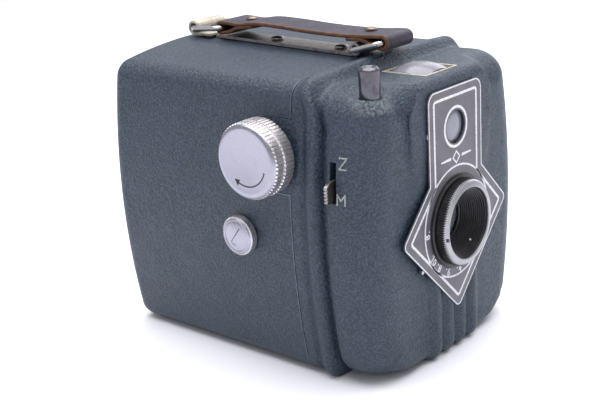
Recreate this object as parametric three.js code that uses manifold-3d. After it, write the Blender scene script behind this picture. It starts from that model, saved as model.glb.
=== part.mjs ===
// A metal box camera for 6 x 6 cm pictures on roll film, as the pieces it comes apart into.
// Millimetres. +Z is up, -Y is the way the lens points, +X is to the right seen from the front.
// The origin is on the flat underside, below the middle of the body's depth.
import * as THREE from 'three';
import { mergeVertices } from 'three/addons/utils/BufferGeometryUtils.js';
import Module from 'manifold-3d';

const wasm = await Module();
wasm.setup();

// ---- Driving dimensions ----
const BODY_DEPTH = 115;
const LENS_Z = 46;              // lens axis above the table
const SIDE_BULGE = 4.5;         // how far each side swells at mid-height
const WALL = 1.2;
const GAP = 0.3;                // left between pieces that touch
const PICTURE = 56;
const SPOOL = { length: 65.4, flange: 12.5, core: 5.7 };

// A place is written as its depth behind the face plate's front and its height above the lens axis.
const depth = (d) => d - BODY_DEPTH / 2;
const height = (h) => h + LENS_Z;

// ---- Cross-sections of the two body shells ----
const REAR = { halfWidth: 39.9, top: 96, bottom: 1.2, radius: 4.6, topBulge: 1.2, bottomBulge: 2 };
const FRONT = { halfWidth: 39.8, top: 95.2, bottom: 2.2, radius: 9.4, topBulge: 0.4, bottomBulge: 1.2 };
const TOP_RISE = 0.037;         // the rear shell's crown grows this much per millimetre backwards
const SEAM = 31.7;              // depth of the rear shell's front edge
const BACK_EDGE = 7;            // rounding of the rear shell's back edge
const FRONT_EDGE = 11.6;        // rounding of the front casing's front edge
const LOW_EDGE = 4.2;           // the same along the bottom
const FACE = 2;                 // depth of the front casing's face
const PANEL = 0.8;              // depth of the raised middle panel

// ---- Places of the moving parts ----
const KNOB = { y: depth(40.3), z: height(27.9), radius: 12.2, base: -44.6, face: -54 };
const TAB_RADIUS = 11.6;
const LATCH = { y: depth(52.8), z: height(-0.2), radius: 6.6, base: -44.8, face: -47.9 };
const BUTTON = { x: -31.3, y: depth(9.3), top: 101.4, radius: 3.2, stem: 1.4 };
const TIME = { y: depth(15.15), low: height(16.6), high: height(23.2), tip: -47.3 };
const FINDER = { z: height(31.2), hole: 5.4, half: 9, near: depth(4.6), far: depth(21.4) };
const BLADE_PIVOT = { x: 12, z: height(-10) };
const LEVER_PIVOT = { x: -16, z: height(18) };
const FRONT_PIVOT = { y: depth(34.6), z: height(53.8) };
const REAR_PIVOT = { y: depth(106), z: height(57.1) };
const FRONT_FOLD = { y: depth(22.3), z: height(57) };
const REAR_FOLD = { y: depth(92.3), z: height(57.8) };
const ROLLERS = { y: depth(95.8), high: height(39.4), low: height(-38.4) };
const SUPPLY_Z = height(-27.9);
const LOOP_HALF = 8.4;
const WIRE = 0.95;
const STRAP = { half: 7.2, thick: 1.9, eye: 2.5, hole: 1.38 };
const WINDOW = { z: height(-14), radius: 5 };
const COVER_PIVOT_Z = WINDOW.z + 15;

// ---- Finishes ----
const finish = (color, roughness, metalness) =>
  new THREE.MeshStandardMaterial({ color, roughness, metalness });
const PAINT = finish(0x4a585e, 0.75, 0.1);
const BLACK = finish(0x17171a, 0.6, 0.2);
const STEEL = finish(0x9a9690, 0.4, 0.9);
const ALUMINIUM = finish(0xc8c8ce, 0.35, 0.9);
const BRASS = finish(0xa8874e, 0.45, 0.9);
const GLASS = finish(0x9aa2b4, 0.1, 0);
const MIRROR = finish(0xd8dce0, 0.05, 1);
const LEATHER = finish(0x36303c, 0.8, 0);
const PRINTED = finish(0x74727d, 0.35, 0.6);
const CREAM = finish(0xb9b39c, 0.6, 0.3);
const RED = finish(0x8a1414, 0.3, 0);

const camera = new THREE.Group();

// ---- Solids ----
function solid(geometry) {
  const bare = geometry.clone();
  bare.deleteAttribute('normal');
  bare.deleteAttribute('uv');
  const merged = mergeVertices(bare, 1e-4);
  const index = merged.index.array;
  const triangles = [];
  for (let i = 0; i < index.length; i += 3) {
    const [a, b, c] = [index[i], index[i + 1], index[i + 2]];
    if (a !== b && b !== c && c !== a) triangles.push(a, b, c);
  }
  const vertProperties = new Float32Array(merged.attributes.position.array);
  const triVerts = new Uint32Array(triangles);
  return new wasm.Manifold(new wasm.Mesh({ numProp: 3, vertProperties, triVerts }));
}

function geometryOf(manifold) {
  const mesh = manifold.getMesh();
  const geometry = new THREE.BufferGeometry();
  geometry.setAttribute('position', new THREE.BufferAttribute(mesh.vertProperties, 3));
  geometry.setIndex(new THREE.BufferAttribute(mesh.triVerts, 1));
  geometry.computeVertexNormals();
  return geometry;
}

// Adds one named piece from a solid or from a closed geometry.
function piece(name, shape, material) {
  const body = shape instanceof THREE.BufferGeometry ? solid(shape) : shape;
  const mesh = new THREE.Mesh(geometryOf(body), material);
  mesh.name = name;
  camera.add(mesh);
}

const joined = (shapes) => shapes.map(solid).reduce((whole, part) => whole.add(part));
const cut = (whole, tools) => tools.reduce((rest, tool) => rest.subtract(solid(tool)), whole);

// A box between two corners.
function block(low, high) {
  const size = high.map((value, i) => value - low[i]);
  const centre = high.map((value, i) => (value + low[i]) / 2);
  return new THREE.BoxGeometry(...size).translate(...centre);
}

// Round solids: a profile of [radius, along] pairs, turned about an axis through a given place.
const lathe = (profile, segments) =>
  new THREE.LatheGeometry(profile.map(([r, a]) => new THREE.Vector2(r, a)), segments);
const aboutX = (profile, y, z, segments = 32) =>
  lathe(profile, segments).rotateZ(-Math.PI / 2).translate(0, y, z);
const aboutY = (profile, x, z, segments = 32) => lathe(profile, segments).translate(x, 0, z);
const aboutZ = (profile, x, y, segments = 32) =>
  lathe(profile, segments).rotateX(Math.PI / 2).translate(x, y, 0);
const disc = (radius, from, to) => [[0, from], [radius, from], [radius, to], [0, to]];
const ring = (inner, outer, from, to) =>
  [[inner, from], [outer, from], [outer, to], [inner, to], [inner, from]];

// An outline of [x, z] points extruded along Y, and one of [y, z] points extruded along X.
const shapeOf = (outline) => new THREE.Shape(outline.map(([a, b]) => new THREE.Vector2(a, b)));
const extruded = (shape, length) =>
  new THREE.ExtrudeGeometry(shape, { depth: length, bevelEnabled: false, curveSegments: 8 });
const alongY = (shape, from, to) =>
  extruded(shape, to - from).rotateX(Math.PI / 2).translate(0, to, 0);
const YZ_TO_X = new THREE.Matrix4().makeBasis(
  new THREE.Vector3(0, 1, 0), new THREE.Vector3(0, 0, 1), new THREE.Vector3(1, 0, 0));
const alongX = (shape, from, to) =>
  extruded(shape, to - from).applyMatrix4(YZ_TO_X).translate(from, 0, 0);

const arc = (cx, cy, r, fromDeg, toDeg, steps) =>
  Array.from({ length: steps + 1 }, (_, i) => {
    const angle = THREE.MathUtils.degToRad(fromDeg + ((toDeg - fromDeg) * i) / steps);
    return [cx + r * Math.cos(angle), cy + r * Math.sin(angle)];
  });

// A closed skin over rings of equal length; each ring runs from +X towards +Z, and they follow +Y.
function loft(rings) {
  const count = rings[0].length;
  const points = rings.flat();
  const centreOf = (loop) => [0, 1, 2].map((k) => loop.reduce((sum, p) => sum + p[k], 0) / count);
  points.push(centreOf(rings[0]), centreOf(rings[rings.length - 1]));
  const [first, last] = [points.length - 2, points.length - 1];
  const index = [];
  for (let i = 0; i < count; i += 1) {
    const next = (i + 1) % count;
    for (let r = 0; r < rings.length - 1; r += 1) {
      const [a, b, c, d] = [r * count + i, r * count + next, (r + 1) * count + next, (r + 1) * count + i];
      index.push(a, d, b, b, d, c);
    }
    const end = (rings.length - 1) * count;
    index.push(first, i, next, last, end + next, end + i);
  }
  const geometry = new THREE.BufferGeometry();
  geometry.setAttribute('position', new THREE.Float32BufferAttribute(points.flat(), 3));
  geometry.setIndex(index);
  return geometry;
}

// One cross-section of a body shell at depth d, drawn in by inset.
function section(shape, d, inset) {
  const ARC_STEPS = 4;
  const SIDE_STEPS = 6;
  const w = shape.halfWidth - inset;
  const top = shape.top - inset;
  const low = shape.bottom + inset;
  const r = Math.max(shape.radius - inset, 0.8);
  const middle = (top + low) / 2;
  const half = (top - low) / 2;
  const corners = [[w - r, top - r, 0], [r - w, top - r, 90], [r - w, low + r, 180], [w - r, low + r, 270]];
  const arcs = corners.map(([x, z, from]) => arc(x, z, r, from, from + 90, ARC_STEPS));
  const loop = arcs.flatMap((points, i) => {
    const [x0, z0] = points[ARC_STEPS];
    const [x1, z1] = arcs[(i + 1) % 4][0];
    const side = Array.from({ length: SIDE_STEPS - 1 }, (_, k) => {
      const t = (k + 1) / SIDE_STEPS;
      return [x0 + (x1 - x0) * t, z0 + (z1 - z0) * t];
    });
    return [...points, ...side];
  });
  return loop.map(([x, z]) => {
    const across = x / w;
    const up = (z - middle) / half;
    const crown = up > 0 ? shape.topBulge : shape.bottomBulge;
    const bulgedX = x + SIDE_BULGE * across * Math.max(1 - up * up, 0);
    const bulgedZ = z + crown * up * Math.max(1 - across * across, 0);
    return [bulgedX, depth(d), Math.max(bulgedZ, Math.max(inset, 0))];
  });
}

// Quarter-round steps of a shell's edge: [extra inset, how far along the rounding].
const rounding = (radius, steps) =>
  Array.from({ length: steps }, (_, i) => {
    const angle = ((i + 1) / steps) * (Math.PI / 2);
    return [radius * (1 - Math.cos(angle)), radius * Math.sin(angle)];
  });

// ---- Rear shell: a sleeve closed at the back, notched where the winding knob's tab lies ----
const rearSection = (d, inset) =>
  section({ ...REAR, topBulge: REAR.topBulge + TOP_RISE * (d - SEAM) }, d, inset);

function rearSolid(from, inset) {
  const turn = BODY_DEPTH - BACK_EDGE;
  const rings = [from, (from + turn) / 2, turn].map((d) => rearSection(d, inset));
  const rounded = rounding(BACK_EDGE - inset, 4)
    .map(([extra, along]) => rearSection(turn + along, inset + extra));
  return solid(loft([...rings, ...rounded]));
}

// The tab's outline, grown by a margin: straight sides and a round rear end, centred on the knob.
function tabOutline(margin) {
  const r = TAB_RADIUS + margin;
  const end = arc(KNOB.y, KNOB.z, r, -90, 90, 10);
  return shapeOf([[depth(SEAM - 2), KNOB.z - r], ...end, [depth(SEAM - 2), KNOB.z + r]]);
}

function rearShell() {
  const hollow = rearSolid(SEAM - 1, WALL);
  const tools = [
    alongX(tabOutline(GAP), -60, -30),
    aboutX(disc(2.4, -50, -38), LATCH.y, LATCH.z, 20),
    aboutY(disc(WINDOW.radius, depth(110), depth(118)), 0, WINDOW.z, 24),
    aboutY(disc(1.7, depth(110), depth(118)), 0, COVER_PIVOT_Z, 16),
  ];
  piece('rear_shell', cut(rearSolid(SEAM, 0).subtract(hollow), tools), PAINT);
}

// ---- Front casing: rib and groove round it, raised panel, flutes, and the knob's tab ----
// A ring's points move from one set of places to another as share goes from 0 to 1.
const blended = (from, to, share) =>
  from.map((point, i) => point.map((value, k) => value + (to[i][k] - value) * share(from[i])));
const ramp = (low, high, value) => THREE.MathUtils.clamp((value - low) / (high - low), 0, 1);

function casingOuter() {
  // [depth, inset at the sides and bottom, inset at the top]. Over the top there is one broad rib
  // close to the seam, and no groove.
  const rib = [
    [SEAM - GAP, 0, 0], [28.2, 0.1, -1.1], [27, 0.7, -1.5], [25.8, 0, -1.5], [24.4, -0.95, -0.6],
    [22.8, -1.2, 1], [21.4, -0.4, 1.4],
  ];
  const side = [[20.5, 1, 0], [19.9, 2, 0], [18.9, 2, 0], [18.3, 0.6, 0], [17.2, 0, 0]];
  const banded = (shape) => ([d, inset, topInset]) =>
    blended(section(shape, d, inset), section(shape, d, topInset), ([, , z]) => ramp(84, 92, z));
  const lower = rounding(LOW_EDGE, 5);
  const edge = [[0, 0], ...rounding(FRONT_EDGE, 5)].map(([extra, along], i) => {
    const [lowExtra, lowAlong] = i ? lower[i - 1] : [0, 0];
    const main = section(FRONT, FACE + FRONT_EDGE - along, extra);
    const low = section(FRONT, FACE + LOW_EDGE - lowAlong, lowExtra);
    const rim = section(FRONT, FACE, 0);
    return main.map((point, k) =>
      point.map((value, axis) => value + (low[k][axis] - value) * ramp(13, 4, rim[k][2])));
  });
  const rings = [...rib.map(banded(REAR)), ...side.map(banded(FRONT)), ...edge];
  return solid(loft(rings.reverse()));
}

function casingInner() {
  const edge = FRONT_EDGE - 1.6;
  const rings = [
    section(FRONT, 40, 2.6),
    section(FRONT, 22.4, 2.6),
    section(FRONT, 21, 4),
    section(FRONT, 17, 4),
    section(FRONT, 15.8, 1.9),
    section(FRONT, FACE + FRONT_EDGE, 1.6),
    ...rounding(edge, 4).map(([extra, along]) => section(FRONT, FACE + FRONT_EDGE - along, 1.6 + extra)),
  ];
  return solid(loft(rings.reverse()));
}

// The panel's side view: a tight edge over the top and the casing's own round below.
function panelBlock() {
  const TOP_EDGE = 4.2;
  const TOP = FRONT.top + 0.2;
  const BOTTOM = height(-8);
  const profile = [
    [depth(12), TOP],
    ...arc(depth(PANEL + TOP_EDGE), TOP - TOP_EDGE, TOP_EDGE, 90, 180, 5),
    [depth(PANEL), BOTTOM],
    [depth(FACE + 1), BOTTOM],
    [depth(FACE + 1), 84],
    [depth(12), 90],
  ];
  return solid(alongX(shapeOf(profile), -20.5, 20.5));
}

// One rounded flute, from the face down round the lower edge to the underside.
function flute(x) {
  const RISE = 1.35;
  const HALF = 3.45;
  const edge = LOW_EDGE + 0.2;
  const floor = FRONT.bottom - 0.7;
  const turn = floor + edge;
  const straight = [[height(-12), 0.05], [height(-18), 0.6], [height(-24), 1], [turn, 1]];
  const stations = straight.map(([z, grow]) => ({ d: FACE, z, grow, ny: -1, nz: 0 }));
  for (let i = 1; i <= 6; i += 1) {
    const angle = (i / 6) * (Math.PI / 2);
    const [ny, nz] = [-Math.cos(angle), -Math.sin(angle)];
    stations.push({ d: FACE + edge + edge * ny, z: turn + edge * nz, grow: 1 - 0.3 * (i / 6), ny, nz });
  }
  stations.push({ d: 17, z: floor + 0.3, grow: 0.5, ny: 0, nz: -1 });
  const rings = stations.map(({ d, z, grow, ny, nz }) => {
    const crest = arc(0, 0, 1, 0, 180, 6).map(([c, s]) => [HALF * c, RISE * grow * s]);
    const base = [[-HALF, -1.5], [HALF, -1.5]];
    return [...crest, ...base].map(([a, up]) => [x + a, depth(d) + ny * up, z + nz * up]);
  });
  return solid(loft(rings.reverse()));
}

function frontCasing() {
  const half = FINDER.half + GAP;
  const opening = block([-half, FINDER.near - GAP, 80], [half, FINDER.far + GAP, 105]);
  const tongue = solid(loft([section(REAR, 29.5, 1.55), section(REAR, 37.5, 1.55)]))
    .subtract(solid(loft([section(REAR, 28, 2.75), section(REAR, 39, 2.75)])));
  const tab = rearSolid(SEAM - 3, 0).subtract(rearSolid(SEAM - 4, WALL))
    .intersect(solid(alongX(tabOutline(0), -60, -30)));
  let body = casingOuter().add(panelBlock());
  [-10.8, -3.6, 3.6, 10.8].forEach((x) => { body = body.add(flute(x)); });
  body = body.subtract(casingInner()).add(tongue).add(tab);
  const dish = new THREE.SphereGeometry(20, 36, 28).translate(BUTTON.x, BUTTON.y, 92.6 + 20);
  const tools = [
    opening,
    aboutY(disc(13.9, depth(-1), depth(8)), 0, LENS_Z, 36),
    aboutY(disc(FINDER.hole + 0.5, depth(-1), depth(5)), 0, FINDER.z, 28),
    dish,
    aboutZ(disc(BUTTON.radius + GAP, 85, 100), BUTTON.x, BUTTON.y, 28),
    block([-50, TIME.y - 1.2, TIME.low - 0.6], [-34, TIME.y + 1.2, TIME.high + 5.4]),
    aboutX(disc(3.3, -50, -38), KNOB.y, KNOB.z, 24),
  ];
  piece('front_casing', cut(body, tools), PAINT);
}

// ---- Face plate: a round-topped strip over a square set on its corner ----
function facePlate() {
  const CORNER = 30.3;
  const STRIP = { half: 15.1, top: height(44.3), round: 3.6 };
  const ROUND = 2.2;
  const neck = LENS_Z + CORNER - STRIP.half;
  const shape = new THREE.Shape();
  shape.moveTo(STRIP.half, neck);
  shape.lineTo(STRIP.half, STRIP.top - STRIP.round);
  shape.absarc(STRIP.half - STRIP.round, STRIP.top - STRIP.round, STRIP.round, 0, Math.PI / 2, false);
  shape.absarc(STRIP.round - STRIP.half, STRIP.top - STRIP.round, STRIP.round, Math.PI / 2, Math.PI, false);
  shape.lineTo(-STRIP.half, neck);
  const inset = CORNER - ROUND * Math.SQRT2;
  [[-inset, 0, 135, 225], [0, -inset, 225, 315], [inset, 0, 315, 405]].forEach(([x, z, from, to]) => {
    const [a, b] = [from, to].map(THREE.MathUtils.degToRad);
    shape.absarc(x, LENS_Z + z, ROUND, a, b, false);
  });
  shape.closePath();
  const hole = (x, z, r) => new THREE.Path().absarc(x, z, r, 0, 2 * Math.PI, true);
  shape.holes.push(hole(0, LENS_Z, 15.4), hole(0, FINDER.z, FINDER.hole));
  piece('face_plate', alongY(shape, depth(0), depth(PANEL - GAP)), PRINTED);
}

// ---- Lens, focusing and shutter ----
function lensParts() {
  const at = (profile) => profile.map(([r, d]) => [r, depth(d)]);
  const turned = (profile, segments = 36) => aboutY(at(profile), 0, LENS_Z, segments);
  const mount = [
    [12.6, -0.9], [15.1, -0.9], [15.1, 0.5], [13.6, 0.5], [13.6, 10], [12.6, 10], [12.6, -0.9],
  ];
  const cell = [
    [10.9, -0.6], [12.3, -0.6], [12.3, 9], [9, 9], [9, 7.4], [10.9, 7.4], [10.9, -0.6],
  ];
  const focus = [
    [11.8, -4.5], [12.8, -4.7], [13.5, -4.4], [14.2, -3.6], [14.2, -1.2],
    [10.6, -1.2], [8.6, 4.2], [7, 4.2], [11.8, -4.5],
  ];
  const lens = [[0, 4.7], [4.4, 4.9], [7.8, 5.5], [10.5, 5.8], [10.5, 7], [0, 7]];
  piece('lens_mount', turned(mount), BLACK);
  piece('lens_cell', turned(cell, 40), BLACK);
  piece('focus_ring', turned(focus), BLACK);
  piece('front_lens', turned(lens, 40), GLASS);
  piece('aperture_plate', turned(ring(4.6, 12.6, 11, 11.6), 32), BLACK);

  const board = solid(block([-27, depth(16.4), height(-27)], [27, depth(17.4), height(21)]));
  piece('shutter_board', cut(board, [
    turned(disc(6.2, 15, 19), 28),
    ...[BLADE_PIVOT, LEVER_PIVOT].map((pivot) => aboutY(at(disc(1.5, 15, 19)), pivot.x, pivot.z, 14)),
  ]), BLACK);

  const { x, z } = BLADE_PIVOT;
  const arm = Math.atan2(LENS_Z - z, -x);
  const reach = Math.hypot(x, LENS_Z - z);
  const along = ([u, v]) =>
    [x + u * Math.cos(arm) - v * Math.sin(arm), z + u * Math.sin(arm) + v * Math.cos(arm)];
  const outline = [...arc(0, 0, 3, 120, 240, 6), ...arc(reach, 0, 6.6, -120, 120, 14)];
  const blade = solid(alongY(shapeOf(outline.map(along)), depth(13.2), depth(13.8)));
  const post = [[0, 12], [2.4, 12], [2.4, 12.9], [1.2, 12.9], [1.2, 18.4], [0, 18.4]];
  piece('shutter_blade', cut(blade, [aboutY(at(disc(1.5, 12, 15)), x, z, 14)]), STEEL);
  piece('shutter_pivot', aboutY(at(post), x, z, 14), STEEL);
}

function releaseParts() {
  const { x, y, top, radius, stem } = BUTTON;
  const LEVER_TOP = height(21.4);
  const SHOULDER = 90;
  const button = aboutZ([
    [0, LEVER_TOP + GAP], [stem, LEVER_TOP + GAP], [stem, SHOULDER], [radius, SHOULDER],
    [radius, top - 0.9], [radius - 0.7, top - 0.1], [radius - 1.2, top],
    [1.3, top - 0.1], [1.2, top - 3], [0, top - 3],
  ], x, y, 28);
  piece('release_button', button, STEEL);

  const LOW = height(28.5);
  const COIL = { turns: 4, radius: 2.5, wire: 0.35, clear: 0.4 };
  const rise = SHOULDER - LOW - 3 * COIL.clear;
  class Helix extends THREE.Curve {
    getPoint(t) {
      const angle = t * COIL.turns * 2 * Math.PI;
      const [across, away] = [COIL.radius * Math.cos(angle), COIL.radius * Math.sin(angle)];
      return new THREE.Vector3(x + across, y + away, LOW + COIL.clear + t * rise);
    }
  }
  const wire = new THREE.Shape().absarc(0, 0, COIL.wire, 0, 2 * Math.PI, false);
  const coiled = { extrudePath: new Helix(), steps: 40, curveSegments: 3 };
  piece('button_spring', new THREE.ExtrudeGeometry(wire, coiled), STEEL);

  const shelf = block([x - 3, y - 2.6, LOW - 1], [x + 7, depth(16.1), LOW]);
  const leg = block([x - 1, depth(15), height(10)], [x + 7, depth(16.1), LOW - 0.5]);
  const guide = aboutZ(disc(stem + 0.4, LOW - 3, LOW + 2), x, y, 16);
  piece('button_bracket', cut(joined([shelf, leg]), [guide]), STEEL);

  const hub = LEVER_PIVOT;
  const lever = shapeOf([
    [x - 2.5, LEVER_TOP - 1.6], [hub.x - 2, hub.z - 3], [hub.x + 1.5, hub.z - 3.2], [hub.x + 3, hub.z],
    [hub.x + 1, hub.z + 2.6], [hub.x - 3, hub.z + 2.8], [x + 2.5, LEVER_TOP], [x - 2.5, LEVER_TOP],
  ]);
  const plate = solid(alongY(lever, y - 0.6, y + 0.6));
  piece('release_lever', cut(plate, [aboutY(disc(1.5, y - 3, y + 3), hub.x, hub.z, 14)]), STEEL);
  const post = [
    [0, y - 1.8], [2.4, y - 1.8], [2.4, y - 0.9], [1.2, y - 0.9], [1.2, depth(18.4)], [0, depth(18.4)],
  ];
  piece('lever_pivot', aboutY(post, hub.x, hub.z, 14), STEEL);
}

function timeLever() {
  const TEETH = 5;
  const pitch = (TIME.high - TIME.low) / TEETH;
  const root = TIME.tip + 0.5;
  const edge = Array.from({ length: TEETH }, (_, i) => {
    const z = TIME.high - i * pitch;
    return [[TIME.tip, z - 0.15 * pitch], [TIME.tip, z - 0.7 * pitch], [root, z - 0.85 * pitch]];
  }).flat();
  const outline = [[-36, TIME.low], [-36, TIME.high], [root, TIME.high], ...edge, [root, TIME.low]];
  piece('time_lever', alongY(shapeOf(outline.reverse()), TIME.y - 0.6, TIME.y + 0.6), STEEL);
}

// ---- Reflecting finder ----
function finderParts() {
  const { z, half, near, far, hole } = FINDER;
  const dome = (r, d0) => [[0, d0], [r * 0.6, d0 + 0.25], [r, d0 + 0.9], [r, d0 + 2], [0, d0 + 2]];
  piece('finder_front_lens', aboutY(dome(hole + 0.1, depth(1.2)), 0, z, 28), GLASS);
  const outer = block([-half - 1.2, depth(5.8), height(21.5)], [half + 1.2, depth(23), height(42)]);
  const inner = block([-half - 0.4, depth(4), height(22.3)], [half + 0.4, depth(22.2), height(45)]);
  piece('finder_box', cut(solid(outer), [inner]), BLACK);
  const slope = block([-half, -10.4, -0.6], [half, 10.4, 0.6]).rotateX(Math.PI / 4)
    .translate(0, depth(13.6), height(30.6));
  piece('finder_mirror', slope, MIRROR);
  const rim = solid(block([-half, near, height(44.2)], [half, far, height(49.3)]));
  const eye = block([-half + 0.8, near + 0.8, height(43)], [half - 0.8, far - 0.8, height(50)]);
  piece('finder_frame', cut(rim, [eye]), CREAM);
  const square = block([-half + 1.2, near + 1.2, height(44.4)], [half - 1.2, far - 1.2, height(51)]);
  const DOME = { radius: 16.5, top: height(50.6) };
  const ball = new THREE.SphereGeometry(DOME.radius, 40, 30)
    .translate(0, (near + far) / 2, DOME.top - DOME.radius);
  piece('finder_top_lens', solid(square).intersect(solid(ball)), GLASS);
}

// ---- Film chamber ----
function filmParts() {
  const frustum = (a, b, from, to) => loft([[from, a], [to, b]].map(([d, h]) =>
    [[h, h], [-h, h], [-h, -h], [h, -h]].map(([x, z]) => [x, depth(d), LENS_Z + z])));
  piece('light_cone', cut(solid(frustum(8, 29.6, 18, 98.6)), [frustum(6.8, 29, 15, 101)]), BLACK);

  const outline = [
    [20, -12], [33, -12], [33, -38], [38, -41.5], [93, -41.5], [99, -36],
    [99, 38], [93, 43], [38, 43], [33, 40], [33, 12], [20, 12],
  ].map(([d, h]) => [depth(d), height(h)]);
  const holes = [
    [KNOB.y, KNOB.z, 3.3],
    [KNOB.y, SUPPLY_Z, 2.3],
    [ROLLERS.y, ROLLERS.high, 1.5],
    [ROLLERS.y, ROLLERS.low, 1.5],
  ];
  [['left_side_plate', -35], ['right_side_plate', 34]].forEach(([name, x]) => {
    const tools = holes.map(([y, z, r]) => aboutX(disc(r, x - 2, x + 3), y, z, 18));
    piece(name, cut(solid(alongX(shapeOf(outline), x, x + 1)), tools), BLACK);
  });

  const [low, high] = [height(-36), height(36)];
  const gate = block([-33.6, depth(99.6), low], [33.6, depth(100.6), high]);
  const rails = [-30.5, 29].map((x) => block([x, depth(100.2), low], [x + 1.5, depth(101.4), high]));
  const edge = PICTURE / 2;
  const picture = block([-edge, depth(98), height(-edge)], [edge, depth(103), height(edge)]);
  piece('film_gate', cut(joined([gate, ...rails]), [picture]), BLACK);

  const barrel = 33.4;
  const tip = barrel + 2.4;
  const roller = [
    [0, -tip], [1.2, -tip], [1.2, -barrel], [2.8, -barrel],
    [2.8, barrel], [1.2, barrel], [1.2, tip], [0, tip],
  ];
  piece('upper_roller', aboutX(roller, ROLLERS.y, ROLLERS.high, 20), STEEL);
  piece('lower_roller', aboutX(roller, ROLLERS.y, ROLLERS.low, 20), STEEL);

  const end = SPOOL.length / 2;
  const reel = aboutX([
    [0, -end], [SPOOL.flange, -end], [SPOOL.flange, 1 - end], [SPOOL.core, 1 - end],
    [SPOOL.core, end - 1], [SPOOL.flange, end - 1], [SPOOL.flange, end], [0, end],
  ], KNOB.y, KNOB.z, 32);
  const slot = block([-end - 1, KNOB.y - 3.2, KNOB.z - 1.2], [4 - end, KNOB.y + 3.2, KNOB.z + 1.2]);
  const socket = aboutX(disc(2.4, end - 4, end + 1), KNOB.y, KNOB.z, 18);
  piece('take_up_spool', cut(solid(reel), [slot, socket]), BLACK);

  const pin = [[0, 29.6], [2, 29.6], [2, 35.3], [4, 35.3], [4, 36.5], [0, 36.5]];
  const mirrored = pin.map(([r, x]) => [r, -x]).reverse();
  piece('take_up_pin', aboutX(pin, KNOB.y, KNOB.z, 18), STEEL);
  piece('supply_pin_right', aboutX(pin, KNOB.y, SUPPLY_Z, 18), STEEL);
  piece('supply_pin_left', aboutX(mirrored, KNOB.y, SUPPLY_Z, 18), STEEL);
}

// ---- Winding knob and latch ----
function windingParts() {
  const { y, z, radius, base, face } = KNOB;
  const knob = solid(aboutX([
    [0, face + 0.8], [8.6, face + 0.1], [10.4, face], [11.7, face + 0.9], [radius - 0.2, face + 1.4],
    [radius - 0.2, -49.2], [radius - 0.9, -49], [radius - 0.9, -48.5], [radius, -48.3],
    [radius, base], [0, base],
  ], y, z, 36));
  piece('winding_knob', cut(knob, [aboutX(disc(3.2, -50.2, base + 1), y, z, 24)]), ALUMINIUM);
  const shaft = solid(aboutX(disc(2.9, -49.9, -33.4), y, z, 24));
  const key = solid(block([-34, y - 2.6, z - 0.8], [-29.2, y + 2.6, z + 0.8]));
  piece('winding_shaft', shaft.add(key), STEEL);
}

function latchParts() {
  const { y, z, radius, base, face } = LATCH;
  piece('latch_knob', aboutX([
    [0, face], [5.6, face], [radius, face + 0.8], [radius, base], [2, base], [2, -38.6], [0, -38.6],
  ], y, z, 36), ALUMINIUM);
  const outline = [...arc(y, z, 4, 60, 300, 12), [y + 11, z - 3.4], [y + 12, z - 1], [y + 12, z + 3.4]];
  const cam = solid(alongX(shapeOf(outline), -41, -39.4));
  piece('latch_cam', cut(cam, [aboutX(disc(2.3, -43, -37), y, z, 18)]), STEEL);
}

// ---- Rear shell fittings: pressure plate and its spring, red window and its cover ----
function backParts() {
  const plate = solid(block([-30, depth(103), height(-31)], [30, depth(103.8), height(31)]));
  piece('pressure_plate', cut(plate, [aboutY(disc(7, depth(101), depth(106)), 0, WINDOW.z, 24)]), BLACK);
  const BOW = 8.6;
  const SPAN = 24;
  const bow = (offset) => Array.from({ length: 15 }, (_, i) => {
    const x = SPAN * (1 - i / 7);
    return [x, depth(104.2 + BOW * Math.cos((x / SPAN) * (Math.PI / 2)) + offset)];
  });
  const strip = shapeOf([...bow(0), ...bow(0.5).reverse()]);
  piece('pressure_spring', extruded(strip, 12).translate(0, 0, height(8)), STEEL);
  piece('red_window', aboutY(disc(7, depth(112.5), depth(113.4)), 0, WINDOW.z, 28), RED);

  const outline = [...arc(0, COVER_PIVOT_Z, 3.6, 20, 160, 8), ...arc(0, WINDOW.z, 7.4, 160, 380, 18)];
  const cover = solid(alongY(shapeOf(outline), depth(BODY_DEPTH + GAP), depth(BODY_DEPTH + 1.1)));
  const bore = aboutY(disc(1.7, depth(114), depth(118)), 0, COVER_PIVOT_Z, 16);
  piece('window_cover', cut(cover, [bore]), BLACK);
  const rivet = [[0, 112.8], [1.4, 112.8], [1.4, 116.4], [2.9, 116.4], [2.4, 117.3], [0, 117.5]];
  piece('window_rivet', aboutY(rivet.map(([r, d]) => [r, depth(d)]), 0, COVER_PIVOT_Z, 18), STEEL);
}

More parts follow.
